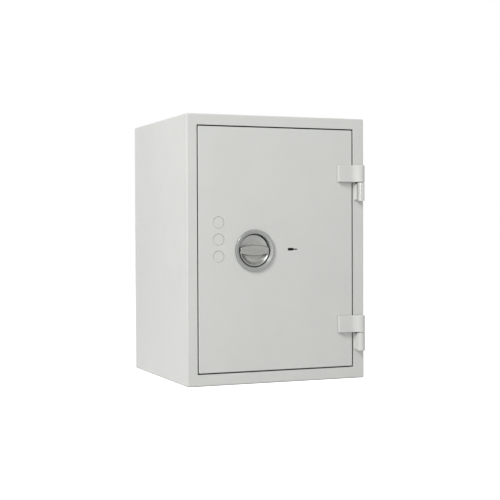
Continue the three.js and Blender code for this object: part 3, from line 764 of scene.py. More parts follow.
class Effects:
    """The shader node groups that several finishes share."""

    def __init__(self) -> None:
        """Builds every group once."""
        point = "Vector"
        self.grain = self._group(
            "coat_grain", (point, "Peel Size", "Grain Size"), ("Height", "Mottle"), self._grain
        )
        # lighter edges: partly worn finish and partly painted highlight
        self.wear_and_highlight = self._group("edge_wear", (point, "Radius"), ("Mask",), self._wear_and_highlight)
        self.dust = self._group("settled_dust", (point, "Patch Size"), ("Mask",), self._dust)
        # painted shade: an occlusion mask that darkens gaps and inner corners
        self.crevice_shade = self._group("crevice_dirt", ("Reach",), ("Mask",), self._crevice_shade)
        self.streaks = self._group("drawn_streaks", (point, "Width"), ("Height", "Streak"), self._streaks)

    @staticmethod
    def _group(
        name: str,
        needs: Sequence[str],
        results: Sequence[str],
        fill: Callable[[Wiring, Sockets], tuple[Socket, ...]],
    ) -> bpy.types.NodeTree:
        """Makes a group with named inputs and results.

        Args:
            name: The group's name.
            needs: Names of the inputs; all but Vector are single numbers.
            results: Names of the outputs, which are single numbers.
            fill: The method that wires the group and returns its output sockets.

        Returns:
            The group's tree.
        """
        tree = bpy.data.node_groups.new(name, "ShaderNodeTree")
        for label in needs:
            kind = "NodeSocketVector" if label == "Vector" else "NodeSocketFloat"
            tree.interface.new_socket(name=label, in_out="INPUT", socket_type=kind)
        for label in results:
            tree.interface.new_socket(name=label, in_out="OUTPUT", socket_type="NodeSocketFloat")
        wiring = Wiring(tree)
        given = wiring.add("NodeGroupInput").outputs
        wiring.add("NodeGroupOutput", dict(zip(results, fill(wiring, given))))
        return tree

    @staticmethod
    def _grain(wiring: Wiring, given: Sockets) -> tuple[Socket, ...]:
        """Lays orange peel with a fine grain on it, and a broad mottle.

        Args:
            wiring: The group's wiring.
            given: The group's inputs.

        Returns:
            The height and the mottle.
        """
        peel = wiring.sized(given["Vector"], given["Peel Size"], 1.0)
        fine = wiring.sized(given["Vector"], given["Grain Size"], 3.0, 0.6)
        height = wiring.maths("ADD", wiring.maths("MULTIPLY", peel, 0.7), wiring.maths("MULTIPLY", fine, 0.3))
        return height, wiring.span(wiring.noise(given["Vector"], MOTTLE_SCALE, 4.0, 0.55), 0.3, 0.7)

    @staticmethod
    def _wear_and_highlight(wiring: Wiring, given: Sockets) -> tuple[Socket, ...]:
        """Finds edges by comparing the surface's normal with a rounded one, and breaks them up; the lighter
        edges it gives are partly worn paint and partly painted highlight.

        Args:
            wiring: The group's wiring.
            given: The group's inputs.

        Returns:
            The mask.
        """
        rounded = wiring.add("ShaderNodeBevel", {"Radius": given["Radius"]}, samples=4).outputs[0]
        plain = wiring.add("ShaderNodeNewGeometry").outputs["Normal"]
        same = wiring.vector("DOT_PRODUCT", rounded, plain).outputs["Value"]
        patches = wiring.span(wiring.noise(given["Vector"], CHIP_SCALE, 5.0, 0.65), 0.42, 0.66)
        return (wiring.maths("MULTIPLY", wiring.span(same, 0.995, 0.9), patches),)

    @staticmethod
    def _dust(wiring: Wiring, given: Sockets) -> tuple[Socket, ...]:
        """Lays soft patches that are thicker on faces that look up.

        Args:
            wiring: The group's wiring.
            given: The group's inputs.

        Returns:
            The mask.
        """
        normal = wiring.add("ShaderNodeNewGeometry").outputs["Normal"]
        height = wiring.add("ShaderNodeSeparateXYZ", {0: normal}).outputs["Z"]
        patches = wiring.span(wiring.sized(given["Vector"], given["Patch Size"], 6.0, 0.62), 0.38, 0.72)
        return (wiring.maths("MULTIPLY", patches, wiring.span(height, -0.4, 1.0, 0.25)),)

    @staticmethod
    def _crevice_shade(wiring: Wiring, given: Sockets) -> tuple[Socket, ...]:
        """Finds narrow gaps and contact lines, to darken them as painted shade.

        Args:
            wiring: The group's wiring.
            given: The group's inputs.

        Returns:
            The mask.
        """
        clear = wiring.add("ShaderNodeAmbientOcclusion", {"Distance": given["Reach"]}, samples=6)
        return (wiring.span(clear.outputs["AO"], 0.58, 0.2),)

    @staticmethod
    def _streaks(wiring: Wiring, given: Sockets) -> tuple[Socket, ...]:
        """Draws fine lines along X, as left by grinding.

        Args:
            wiring: The group's wiring.
            given: The group's inputs.

        Returns:
            The lines as a height and as a mask.
        """
        stretched = wiring.vector("MULTIPLY", given["Vector"], STREAK_STRETCH).outputs[0]
        lines = wiring.sized(stretched, given["Width"], 3.0, 0.7)
        return lines, wiring.span(lines, 0.35, 0.65)


def srgb(red: int, green: int, blue: int) -> Colour:
    """Converts a colour from the 0 to 255 screen scale.

    Args:
        red: Red level.
        green: Green level.
        blue: Blue level.

    Returns:
        The linear values.
    """

    def linear(level: int) -> float:
        """Returns one level as a linear value."""
        share = level / 255
        return share / 12.92 if share <= 0.04045 else ((share + 0.055) / 1.055) ** 2.4

    return linear(red), linear(green), linear(blue)


@dataclass(frozen=True)
class Bench:
    """A material in the making, with its shader and the object coordinates."""

    material: bpy.types.Material
    effects: Effects
    wiring: Wiring
    shader: bpy.types.Node
    point: Socket


@dataclass(frozen=True)
class Finish:
    """What every finish has: a name, a colour, a roughness and a relief."""

    name: str
    colour: Colour
    roughness: float
    depth: float = 0.1 * MM
    relief: float = 0.8
    patch: float = 40 * MM

    def start(self, effects: Effects) -> Bench:
        """Begins the material.

        Args:
            effects: The shared effects.

        Returns:
            The material in the making.
        """
        material = bpy.data.materials.new(self.name)
        material.use_nodes = True
        wiring = Wiring(material.node_tree)
        shader = material.node_tree.nodes["Principled BSDF"]
        shader.inputs["Roughness"].default_value = self.roughness
        point = wiring.add("ShaderNodeTexCoord").outputs["Object"]
        return Bench(material, effects, wiring, shader, point)

    def shade(self, share: float) -> Colour:
        """Returns the finish's colour made lighter or darker by a share."""
        return tuple(min(max(c * share, 0.0), 1.0) for c in self.colour)

    def complete(self, bench: Bench, colour: Socket, height: Socket) -> bpy.types.Material:
        """Joins the colour and the relief to the shader.

        Args:
            bench: The material in the making.
            colour: Socket that gives the colour.
            height: Socket that gives the relief.

        Returns:
            The finished material.
        """
        inputs = {"Strength": self.relief, "Distance": self.depth, "Height": height}
        bump = bench.wiring.add("ShaderNodeBump", inputs)
        bench.wiring.feed(bench.shader, {"Base Color": colour, "Normal": bump.outputs[0]})
        return bench.material


@dataclass(frozen=True)
class Weathered(Finish):
    """A finish on metal that takes dust, lighter edges that are partly worn and partly painted highlight, and
    painted shade in its gaps.
    """

    dust: float = 0.35
    dust_shade: float = 0.82
    dulling: float = 0.14
    gloss: float = 0.04
    # lighter edges, partly worn and partly painted highlight: their width, share and tone
    wear_highlight_radius: float = 0.6 * MM
    wear_and_highlight: float = 0.6
    wear_highlight_tone: float = 1.35
    # painted shade: how much and how dark gaps and inner corners are darkened, and how far the darkening
    # reaches
    painted_shade: float = 0.6
    painted_shade_tone: float = 0.1
    gap: float = 5 * MM

    def ground(self, bench: Bench) -> tuple[Socket, Socket]:
        """Makes the clean finish; each kind of finish has its own.

        Args:
            bench: The material in the making.

        Returns:
            The colour and the height of the relief.
        """
        raise NotImplementedError

    def varied(self, bench: Bench, mask: Socket, by: float) -> Socket:
        """Varies the finish's colour, darker and lighter by a share, as a mask goes from 0 to 1."""
        return bench.wiring.blend(mask, self.shade(1 - by), self.shade(1 + by))

    def material(self, effects: Effects) -> bpy.types.Material:
        """Builds the material.

        Args:
            effects: The shared effects.

        Returns:
            The material.
        """
        bench = self.start(effects)
        wiring, point = bench.wiring, bench.point
        colour, height = self.ground(bench)
        dust = wiring.group(effects.dust, Vector=point, Patch_Size=self.patch)[0]
        # edge mask, partly worn finish and partly painted highlight
        wear_and_highlight = wiring.group(effects.wear_and_highlight, Vector=point, Radius=self.wear_highlight_radius)[0]
        # painted shade in gaps and inner corners, from the occlusion mask
        painted_shade_mask = wiring.group(effects.crevice_shade, Reach=self.gap)[0]
        colour = wiring.blend(dust, colour, self.shade(self.dust_shade), self.dust)
        colour = wiring.blend(wear_and_highlight, colour, self.shade(self.wear_highlight_tone), self.wear_and_highlight)
        colour = wiring.blend(painted_shade_mask, colour, self.shade(self.painted_shade_tone), self.painted_shade)
        dulled = wiring.maths("MULTIPLY", dust, self.dulling)
        roughness = wiring.maths("ADD", dulled, self.roughness - self.gloss)
        wiring.feed(bench.shader, {"Roughness": roughness})
        return self.complete(bench, colour, height)


@dataclass(frozen=True)
class PowderCoat(Weathered):
    """Baked powder paint on sheet steel: orange peel, faint mottle, lighter edges that are partly worn and
    partly painted highlight.
    """

    peel: float = 1.6 * MM
    mottle: float = 0.015
    depth: float = 0.05 * MM
    relief: float = 0.5
    patch: float = 160 * MM
    dust: float = 0.16
    dust_shade: float = 0.88
    dulling: float = 0.1
    gloss: float = 0.03
    # lighter edges here are partly worn paint and partly painted highlight
    wear_highlight_radius: float = 1.0 * MM
    wear_and_highlight: float = 0.75
    wear_highlight_tone: float = 1.2
    # painted shade: strong darkening of gaps and inner corners on the paint
    painted_shade: float = 0.92
    painted_shade_tone: float = 0.12

    def ground(self, bench: Bench) -> tuple[Socket, Socket]:
        """Makes the clean paint.

        Args:
            bench: The material in the making.

        Returns:
            The colour and the height of the orange peel.
        """
        sizes = {"Peel_Size": self.peel, "Grain_Size": self.peel / 5}
        height, mottle = bench.wiring.group(bench.effects.grain, Vector=bench.point, **sizes)
        return self.varied(bench, mottle, self.mottle), height


@dataclass(frozen=True)
class Metal(Weathered):
    """Bare or plated metal with drawn streaks, dulled patches and brighter edges."""

    metallic: float = 1.0
    streak: float = 0.35 * MM
    contrast: float = 0.08
    depth: float = 0.012 * MM
    relief: float = 0.6
    patch: float = 25 * MM

    def ground(self, bench: Bench) -> tuple[Socket, Socket]:
        """Makes the clean metal.

        Args:
            bench: The material in the making.

        Returns:
            The colour and the height of the streaks.
        """
        bench.shader.inputs["Metallic"].default_value = self.metallic
        streaks = bench.effects.streaks
        height, streak = bench.wiring.group(streaks, Vector=bench.point, Width=self.streak)
        return self.varied(bench, streak, self.contrast), height


@dataclass(frozen=True)
class SunkLitMetal(Metal):
    """Metal painted lighter where it lies deeper, as painted light on the knob's sunk scoops; its raised
    parts keep the plain colour.
    """

    raised: float = -208.0 * MM
    sunk: float = -204.0 * MM
    painted_light: float = 1.12

    def ground(self, bench: Bench) -> tuple[Socket, Socket]:
        """Makes the clean metal, painted lighter where it lies deeper.

        Args:
            bench: The material in the making.

        Returns:
            The colour and the height of the streaks.
        """
        colour, height = super().ground(bench)
        depth = bench.wiring.add("ShaderNodeSeparateXYZ", {0: bench.point}).outputs["Y"]
        # painted light: the deeper the surface lies, the lighter its colour
        sunk = bench.wiring.span(depth, self.raised, self.sunk)
        return bench.wiring.blend(sunk, colour, self.shade(self.painted_light)), height


@dataclass(frozen=True)
class Moulding(Finish):
    """Cast, moulded or extruded matt stuff: a pitted grain and pale dust, thicker on faces that look up."""

    pit: float = 0.8 * MM
    darkest: float = 0.88
    lightest: float = 1.1
    dustiness: float = 0.2
    dust_colour: Colour = (0.5, 0.49, 0.46)

    def material(self, effects: Effects) -> bpy.types.Material:
        """Builds the material.

        Args:
            effects: The shared effects.

        Returns:
            The material.
        """
        bench = self.start(effects)
        wiring, point = bench.wiring, bench.point
        sizes = {"Peel_Size": self.pit * 3, "Grain_Size": self.pit}
        height, mottle = wiring.group(effects.grain, Vector=point, **sizes)
        dust = wiring.group(effects.dust, Vector=point, Patch_Size=self.patch)[0]
        base = wiring.blend(mottle, self.shade(self.darkest), self.shade(self.lightest))
        dusty = wiring.blend(dust, base, self.dust_colour, self.dustiness)
        return self.complete(bench, dusty, height)


@dataclass(frozen=True)
class Coat:
    """A finished material and the record's slot that it belongs to."""

    slot: Slot
    material: bpy.types.Material


class Coats:
    """Every finish on the safe, built once."""

    def __init__(self) -> None:
        """Builds the shared effects and the materials."""
        self.effects = Effects()
        light, inner = srgb(206, 207, 203), srgb(200, 202, 198)
        nickel, knob_tone = srgb(150, 152, 149), srgb(152, 153, 149)
        bright, keyhole_shade_grey, plated = srgb(200, 200, 197), srgb(58, 58, 58), srgb(186, 186, 176)
        rubber, fill, black = srgb(52, 51, 49), srgb(190, 185, 172), srgb(38, 38, 38)
        self.paint = self.coat(Slot.PAINT, PowderCoat("light_grey_powder_coat", light, 0.4))
        self.inner = self.coat(
            Slot.INNER_PAINT, PowderCoat("light_grey_inner_paint", inner, 0.45, peel=2.4 * MM)
        )
        self.nickel = self.coat(Slot.NICKEL, Metal("satin_nickel_casting", nickel, 0.3, metallic=0.5))
        # the knob's sunk scoops get painted light
        self.knob = self.coat(
            Slot.NICKEL, SunkLitMetal("blasted_nickel_casting", knob_tone, 0.3, metallic=0.5)
        )
        # painted shade in gaps kept faint on the bright steel
        self.steel = self.coat(
            Slot.STEEL, Metal("bright_turned_steel", bright, 0.22, metallic=0.75, painted_shade=0.15)
        )
        # painted shade: near-black steel for the key curtain, so that the keyhole reads dark
        self.keyhole_shade_steel = self.coat(Slot.STEEL, Metal("oiled_dark_steel", keyhole_shade_grey, 0.5, contrast=0.15))
        self.zinc = self.coat(Slot.ZINC, Metal("zinc_plate", plated, 0.4, contrast=0.12))
        self.seal = self.coat(Slot.SEAL, Moulding("seal_rubber", rubber, 0.75))
        self.mineral = self.coat(Slot.INSULATION, Moulding("mineral_fill", fill, 0.95, pit=1.5 * MM))
        self.plastic = self.coat(Slot.PLASTIC, Moulding("black_moulding", black, 0.5, pit=0.5 * MM))

    def coat(self, slot: Slot, finish: Weathered | Moulding) -> Coat:
        """Returns a finish's material together with its slot."""
        return Coat(slot, finish.material(self.effects))


def hand_over(piece: Piece, body: Body, coat: Coat, *nodes: str) -> None:
    """Dresses a finished piece and gives it to its body.

    Args:
        piece: The finished object.
        body: The body that it moves with.
        coat: Its finish.
        *nodes: The CAD nodes that it stands for.
    """
    piece.data.materials.clear()
    piece.data.materials.append(coat.material)
    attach(piece, body.value)
    if nodes:
        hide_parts(*nodes)
    log.info("%s: %d faces, on %s", piece.name, len(piece.data.polygons), body.value)


def dress(coat: Coat, *nodes: str) -> None:
    """Gives CAD nodes that keep their shape a finished material.

    Args:
        coat: The finish.
        *nodes: The CAD nodes.
    """
    for node in nodes:
        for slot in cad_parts[node].material_slots:
            slot.material = coat.material
        log.info("%s: kept, dressed with %s", node, coat.material.name)


# ------------------------------------------------------------------ the cabinet


def ribbed_seal(node: str, toward_front: bool) -> Piece:
    """Builds a flat seal with rounded ribs along it.

    Args:
        node: The CAD node that it stands for.
        toward_front: Whether its ribs face the front of the safe.

    Returns:
        The new object.
    """
    width, ribs, valley = 16.0 * MM, 4, 0.55
    low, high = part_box(node)
    base, face = (high.y, low.y) if toward_front else (low.y, high.y)
    steps = ribs * 6
    path = [(0, base)]
    for k in range(steps + 1):
        swell = valley + (1 - valley) * abs(math.sin(math.pi * ribs * k / steps))
        path.append((width * k / steps, base + (face - base) * swell))
    path.append((width, base))
    return lofted(f"ribbed_{node}", folded(rect_of(node), 3 * MM, path, 2 * MM))


@dataclass
class CabinetBody:
    """The folded shell, its back panel, the door frame with its seal, and the liner."""

    coats: Coats
    rows: RowTree
    sheet: float = 2.0 * MM
    bend: float = 3.0 * MM
    lip: float = 0.6 * MM
    corner: float = 3.5 * MM
    frame_sheet: float = 3.0 * MM
    frame_corner: float = 1.5 * MM
    liner_sheet: float = 1.5 * MM
    liner_corner: float = 2.0 * MM
    pan_return: float = 8.0 * MM
    anchor_radius: float = 7.0 * MM
    anchor_reach: float = 100.0 * MM
    field_edge: float = 34.0 * MM
    field_rise: float = 1.1 * MM
    field_slope: float = 2.0 * MM
    field_flat: float = 8.0 * MM
    rivet_edge: float = 17.0 * MM
    rivet_rise: float = 1.4 * MM

    def __post_init__(self) -> None:
        """Reads the places that the frame gives."""
        low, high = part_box("outer_shell")
        self.front, self.back = low.y, high.y
        self.shell = rect_of("outer_shell")
        self.opening = rect_of("door_frame").inset(self.frame_sheet)
        self.reveal = rect_of("inner_liner").inset(self.liner_sheet)
        self.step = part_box("frame_seal")[1].y + SEAT
        self.anchor = middle("anchor_sleeve")

    def build(self) -> None:
        """Builds every piece of the cabinet."""
        self.build_shell()
        self.build_back()
        self.build_frame()
        self.build_liner()
        self.build_anchor()
        seal = ribbed_seal("frame_seal", toward_front=True)
        hand_over(seal, Body.CABINET, self.coats.seal, "frame_seal")
        slabs = (*SIDES, "top", "bottom", "back")
        dress(self.coats.mineral, *(f"insulation_{slab}" for slab in slabs))
        dress(self.coats.zinc, "anchor_sleeve")

    def anchor_bore(self) -> Piece:
        """Makes the cutter for the anchor hole through the floor."""
        foot = Vector((self.anchor.x, self.anchor.y, 0))
        return rod_cutter(foot, Along.UP, self.anchor_radius, self.anchor_reach)

    def build_shell(self) -> None:
        """Folds the shell: four walls and a front flange round the door."""
        front, back, sheet = self.front, self.back, self.sheet
        outside = rounded_path(
            [(sheet, back, 0), (0, back, 0.5 * MM), (0, front, self.bend), (2 * self.bend, front, 0)]
        )
        rim = rounded_path([(-self.bend, front, 0), (0, front, self.lip), (0, front + sheet, 0)])
        inside = rounded_path(
            [(3 * sheet, front + sheet, 0), (sheet, front + sheet, MM), (sheet, back - MM, 0)]
        )
        sections = folded(self.shell, self.corner, outside)
        sections += folded(self.opening, self.frame_corner, rim, self.frame_corner)
        sections += folded(self.shell, self.corner, inside)
        shell = lofted("shell", sections, bores=[self.anchor_bore()])
        hand_over(shell, Body.CABINET, self.coats.paint, "outer_shell")

    def build_back(self) -> None:
        """Builds the back panel with a pressed field, and its rivets."""
        low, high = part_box("back_plate")
        rect = rect_of("back_plate")
        face = high.y - self.rivet_rise
        edge, top = self.field_edge, face + self.field_rise
        inner_edge = edge + self.field_slope
        pressed = rounded_path(
            [
                (0, low.y, 0), (0, face, 0.5 * MM), (edge, face, 1.2 * MM),
                (inner_edge, top, 1.2 * MM), (inner_edge + self.field_flat, top, 0),
            ]
        )
        sections = folded(rect.inset(2 * SEAT), 2 * MM, pressed, 2 * MM)
        panel = lofted("back_panel", sections, capped=True)
        hand_over(panel, Body.CABINET, self.coats.paint, "back_plate")
        line = rect.inset(self.rivet_edge)
        fifth = (line.x1 - line.x0) / 5
        inner = Rect(line.x0 + fifth, line.x1 - fifth, line.z0, line.z1)
        self.rivet_rows("back_rivets_side", face, 9, 2, line)
        self.rivet_rows("back_rivets_end", face, 2, 4, inner)

    def rivet_rows(self, name: str, face: float, rows: int, columns: int, line: Rect) -> None:
        """Sets domed rivets evenly in rows and columns.

        Args:
            name: The piece's name.
            face: Depth of the panel's face.
            rows: Number of rows, from bottom to top.
            columns: Number of columns.
            line: Rectangle whose edges the outer rivets lie on.
        """
        dome = [(0, self.rivet_rise), (1.8 * MM, 1.3 * MM), (3.6 * MM, 0.95 * MM), (4.7 * MM, 0.4 * MM)]
        dome += [(5.0 * MM, -SEAT), (0, -SEAT)]
        rivet = turned("rivet", dome, Vector(), Along.INWARD, sides=20)
        ends = Vector((line.x0, face, line.z0)), Vector((line.x1, face, line.z1))
        piece = self.rows.repeat(name, rivet, self.coats.paint.material, ends, rows, columns)
        hand_over(piece, Body.CABINET, self.coats.paint)

    def build_frame(self) -> None:
        """Builds the stepped door frame, bored for the bolts."""
        low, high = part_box("door_frame")
        sheet, step = self.frame_sheet, self.step
        reach = self.reveal.x0 - self.opening.x0
        section = rounded_path(
            [
                (-sheet, low.y, 0), (0, low.y, 0.4 * MM), (0, step, 1.2 * MM), (reach, step, 1.8 * MM),
                (reach, high.y, 0.4 * MM), (reach - sheet, high.y, 0), (reach - sheet, step + sheet, 0),
                (-sheet, step + sheet, 0),
            ],
            closed=True,
        )
        bores = bolt_bores(self.opening.x0, self.opening.x1, BOLT_BORE, 2 * sheet)
        sections = folded(self.opening, self.frame_corner, section, self.frame_corner)
        door_frame = lofted("stepped_frame", sections, bores=bores)
        hand_over(door_frame, Body.CABINET, self.coats.paint, "door_frame")

    def build_liner(self) -> None:
        """Builds the welded liner of the compartment."""
        low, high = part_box("inner_liner")
        sheet = self.liner_sheet
        section = rounded_path(
            [
                (self.pan_return, high.y, 0), (-sheet, high.y, 2 * MM), (-sheet, low.y, 0.3 * MM),
                (0, low.y, 0.5 * MM), (0, high.y - sheet, 4 * MM), (self.pan_return, high.y - sheet, 0),
            ]
        )
        sections = folded(self.reveal, self.liner_corner, section, self.liner_corner)
        liner = lofted("liner", sections, capped=True, bores=[self.anchor_bore()])
        hand_over(liner, Body.CABINET, self.coats.inner, "inner_liner")

    def build_anchor(self) -> None:
        """Builds the push-in cap over the anchor hole."""
        low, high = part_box("anchor_cap")
        top = high.z - low.z
        under = top - 2 * MM
        radius = high.x - self.anchor.x
        plug = self.anchor_radius - SEAT
        path = rounded_path(
            [
                (0, top, 0), (radius, top - 0.2 * MM, 1.2 * MM), (radius, under, 0.2 * MM),
                (plug, under, 0.3 * MM), (plug, 0, 0.8 * MM), (0, 0, 0),
            ]
        )
        cap = turned("anchor_plug", path, Vector((self.anchor.x, self.anchor.y, low.z)), Along.UP)
        hand_over(cap, Body.CABINET, self.coats.plastic, "anchor_cap")


@dataclass
class ShelfFittings:
    """The slotted strips, the clips hooked into them, and the shelf."""

    coats: Coats
    rows: RowTree
    pitch: float = 25.0 * MM
    slot_width: float = 8.0 * MM
    slot_height: float = 4.0 * MM
    slot_corner: float = 0.8 * MM
    chamfer: float = 0.4 * MM
    weld: float = 0.02 * MM
    shelf_sheet: float = 1.2 * MM
    shelf_return: float = 7.0 * MM
    shelf_edge: float = 0.25 * MM

    def build(self) -> None:
        """Builds the strips, clips and shelf."""
        for side in SIDES:
            self.build_strips(side)
            for end in ("front", "rear"):
                node = f"shelf_clip_{side}_{end}"
                clip = softened(f"clip_{side}_{end}", node, 0.35 * MM)
                hand_over(clip, Body.CABINET, self.coats.zinc, node)
        self.build_shelf()

    def cell(self, width: float, sheet: float) -> Piece:
        """Builds one slotted length of strip, open at both ends.

        Args:
            width: Width of the strip.
            sheet: Thickness of the strip.

        Returns:
            The template, with its middle at the origin.
        """
        half, tall = width / 2, self.pitch / 2
        shoulder = half - self.chamfer
        quarters = ((1, 1), (-1, 1), (-1, -1), (1, -1))
        corners = [
            (sy * self.slot_width / 2, sz * self.slot_height / 2, self.slot_corner) for sy, sz in quarters
        ]
        slot = rounded_path(corners, steps=2, closed=True)
        skin = Skin()
        holes, outers = [], []
        for x in (-sheet / 2, sheet / 2):
            edge = []
            for y, z in slot:
                reach = max(abs(y) / self.slot_width, abs(z) / self.slot_height)
                out_y = y / reach / self.slot_width * shoulder
                out_z = z / reach / self.slot_height * tall
                edge.append(Vector((x, out_y, out_z)))
            for sy, sz in quarters:
                corner = Vector((x, sy * shoulder, sz * tall))
                nearest = min(edge, key=lambda p, c=corner: (p - c).length)
                nearest.y, nearest.z = corner.y, corner.z
            holes.append(skin.loop([Vector((x, y, z)) for y, z in slot]))
            outers.append(skin.loop(edge))
            skin.band(holes[-1], outers[-1])
        skin.bands(holes)
        for sy in (-1, 1):
            at_edge = (v.co.z for v in outers[0] if v.co.y * sy > half - 2 * self.chamfer)
            heights = sorted({round(z, 7) for z in at_edge})
            ends = []
            for way, fall in ((-1, 0), (-1, self.chamfer), (1, self.chamfer), (1, 0)):
                x, y = way * (sheet / 2 - fall), sy * (half if fall else shoulder)
                ends.append(skin.loop([Vector((x, y, z)) for z in heights]))
            skin.bands(ends, closed=False)
        return skin.piece("strip_cell")

    def build_strips(self, side: str) -> None:
        """Repeats the slotted cell up both strips on one side and closes their ends.

        Args:
            side: left or right.
        """
        nodes = [f"shelf_strip_{side}_{end}" for end in ("front", "rear")]
        (low, high), (rear, _) = (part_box(node) for node in nodes)
        size = high - low
        count = int(size.z / self.pitch + SAME)
        first = Vector(((low.x + high.x) / 2, (low.y + high.y) / 2, low.z + self.pitch / 2))
        last = first + Vector((0, rear.y - low.y, (count - 1) * self.pitch))
        cell, zinc = self.cell(size.y, size.x), self.coats.zinc.material
        name = f"slotted_strips_{side}"
        strips = self.rows.repeat(name, cell, zinc, (first, last), count, weld=self.weld)
        shape = bmesh.new()
        shape.from_mesh(strips.data)
        top = low.z + count * self.pitch
        open_edges = [e for e in shape.edges if e.is_boundary]
        upper = [e for e in open_edges if all(abs(v.co.z - top) < MM for v in e.verts)]
        grown = bmesh.ops.extrude_edge_only(shape, edges=upper)["geom"]
        raised = [v for v in grown if isinstance(v, bmesh.types.BMVert)]
        bmesh.ops.translate(shape, verts=raised, vec=(0, 0, high.z - top))
        bmesh.ops.holes_fill(shape, edges=[e for e in shape.edges if e.is_boundary], sides=0)
        bmesh.ops.recalc_face_normals(shape, faces=shape.faces)
        shape.to_mesh(strips.data)
        shape.free()
        hand_over(smooth(strips), Body.CABINET, self.coats.zinc, *nodes)

    def build_shelf(self) -> None:
        """Folds the shelf, with a lip at its front and rear that turns in at the bottom."""
        low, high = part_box("shelf")
        end = self.shelf_return

        def side(inside: float, bend: float) -> Path2D:
            """Draws one side of the sheet.

            Args:
                inside: Its distance in from the shelf's outside.
                bend: Radius of its bends.

            Returns:
                Its points as (y, z), from the front return to the rear one.
            """
            y0, y1 = low.y + inside, high.y - inside
            z0, z1 = low.z + inside, high.z - inside
            bends = [(y0, z0, bend), (y0, z1, bend), (y1, z1, bend), (y1, z0, bend)]
            return rounded_path([(low.y + end, z0, 0), *bends, (high.y - end, z0, 0)])

        sheet = self.shelf_sheet
        outline = [*side(0, 2 * sheet), *reversed(side(sheet, sheet))]
        shelf = prism("folded_shelf", outline, Along.X, low.x, high.x, self.shelf_edge)
        hand_over(shelf, Body.CABINET, self.coats.inner, "shelf")


# ------------------------------------------------------------------ the hinges


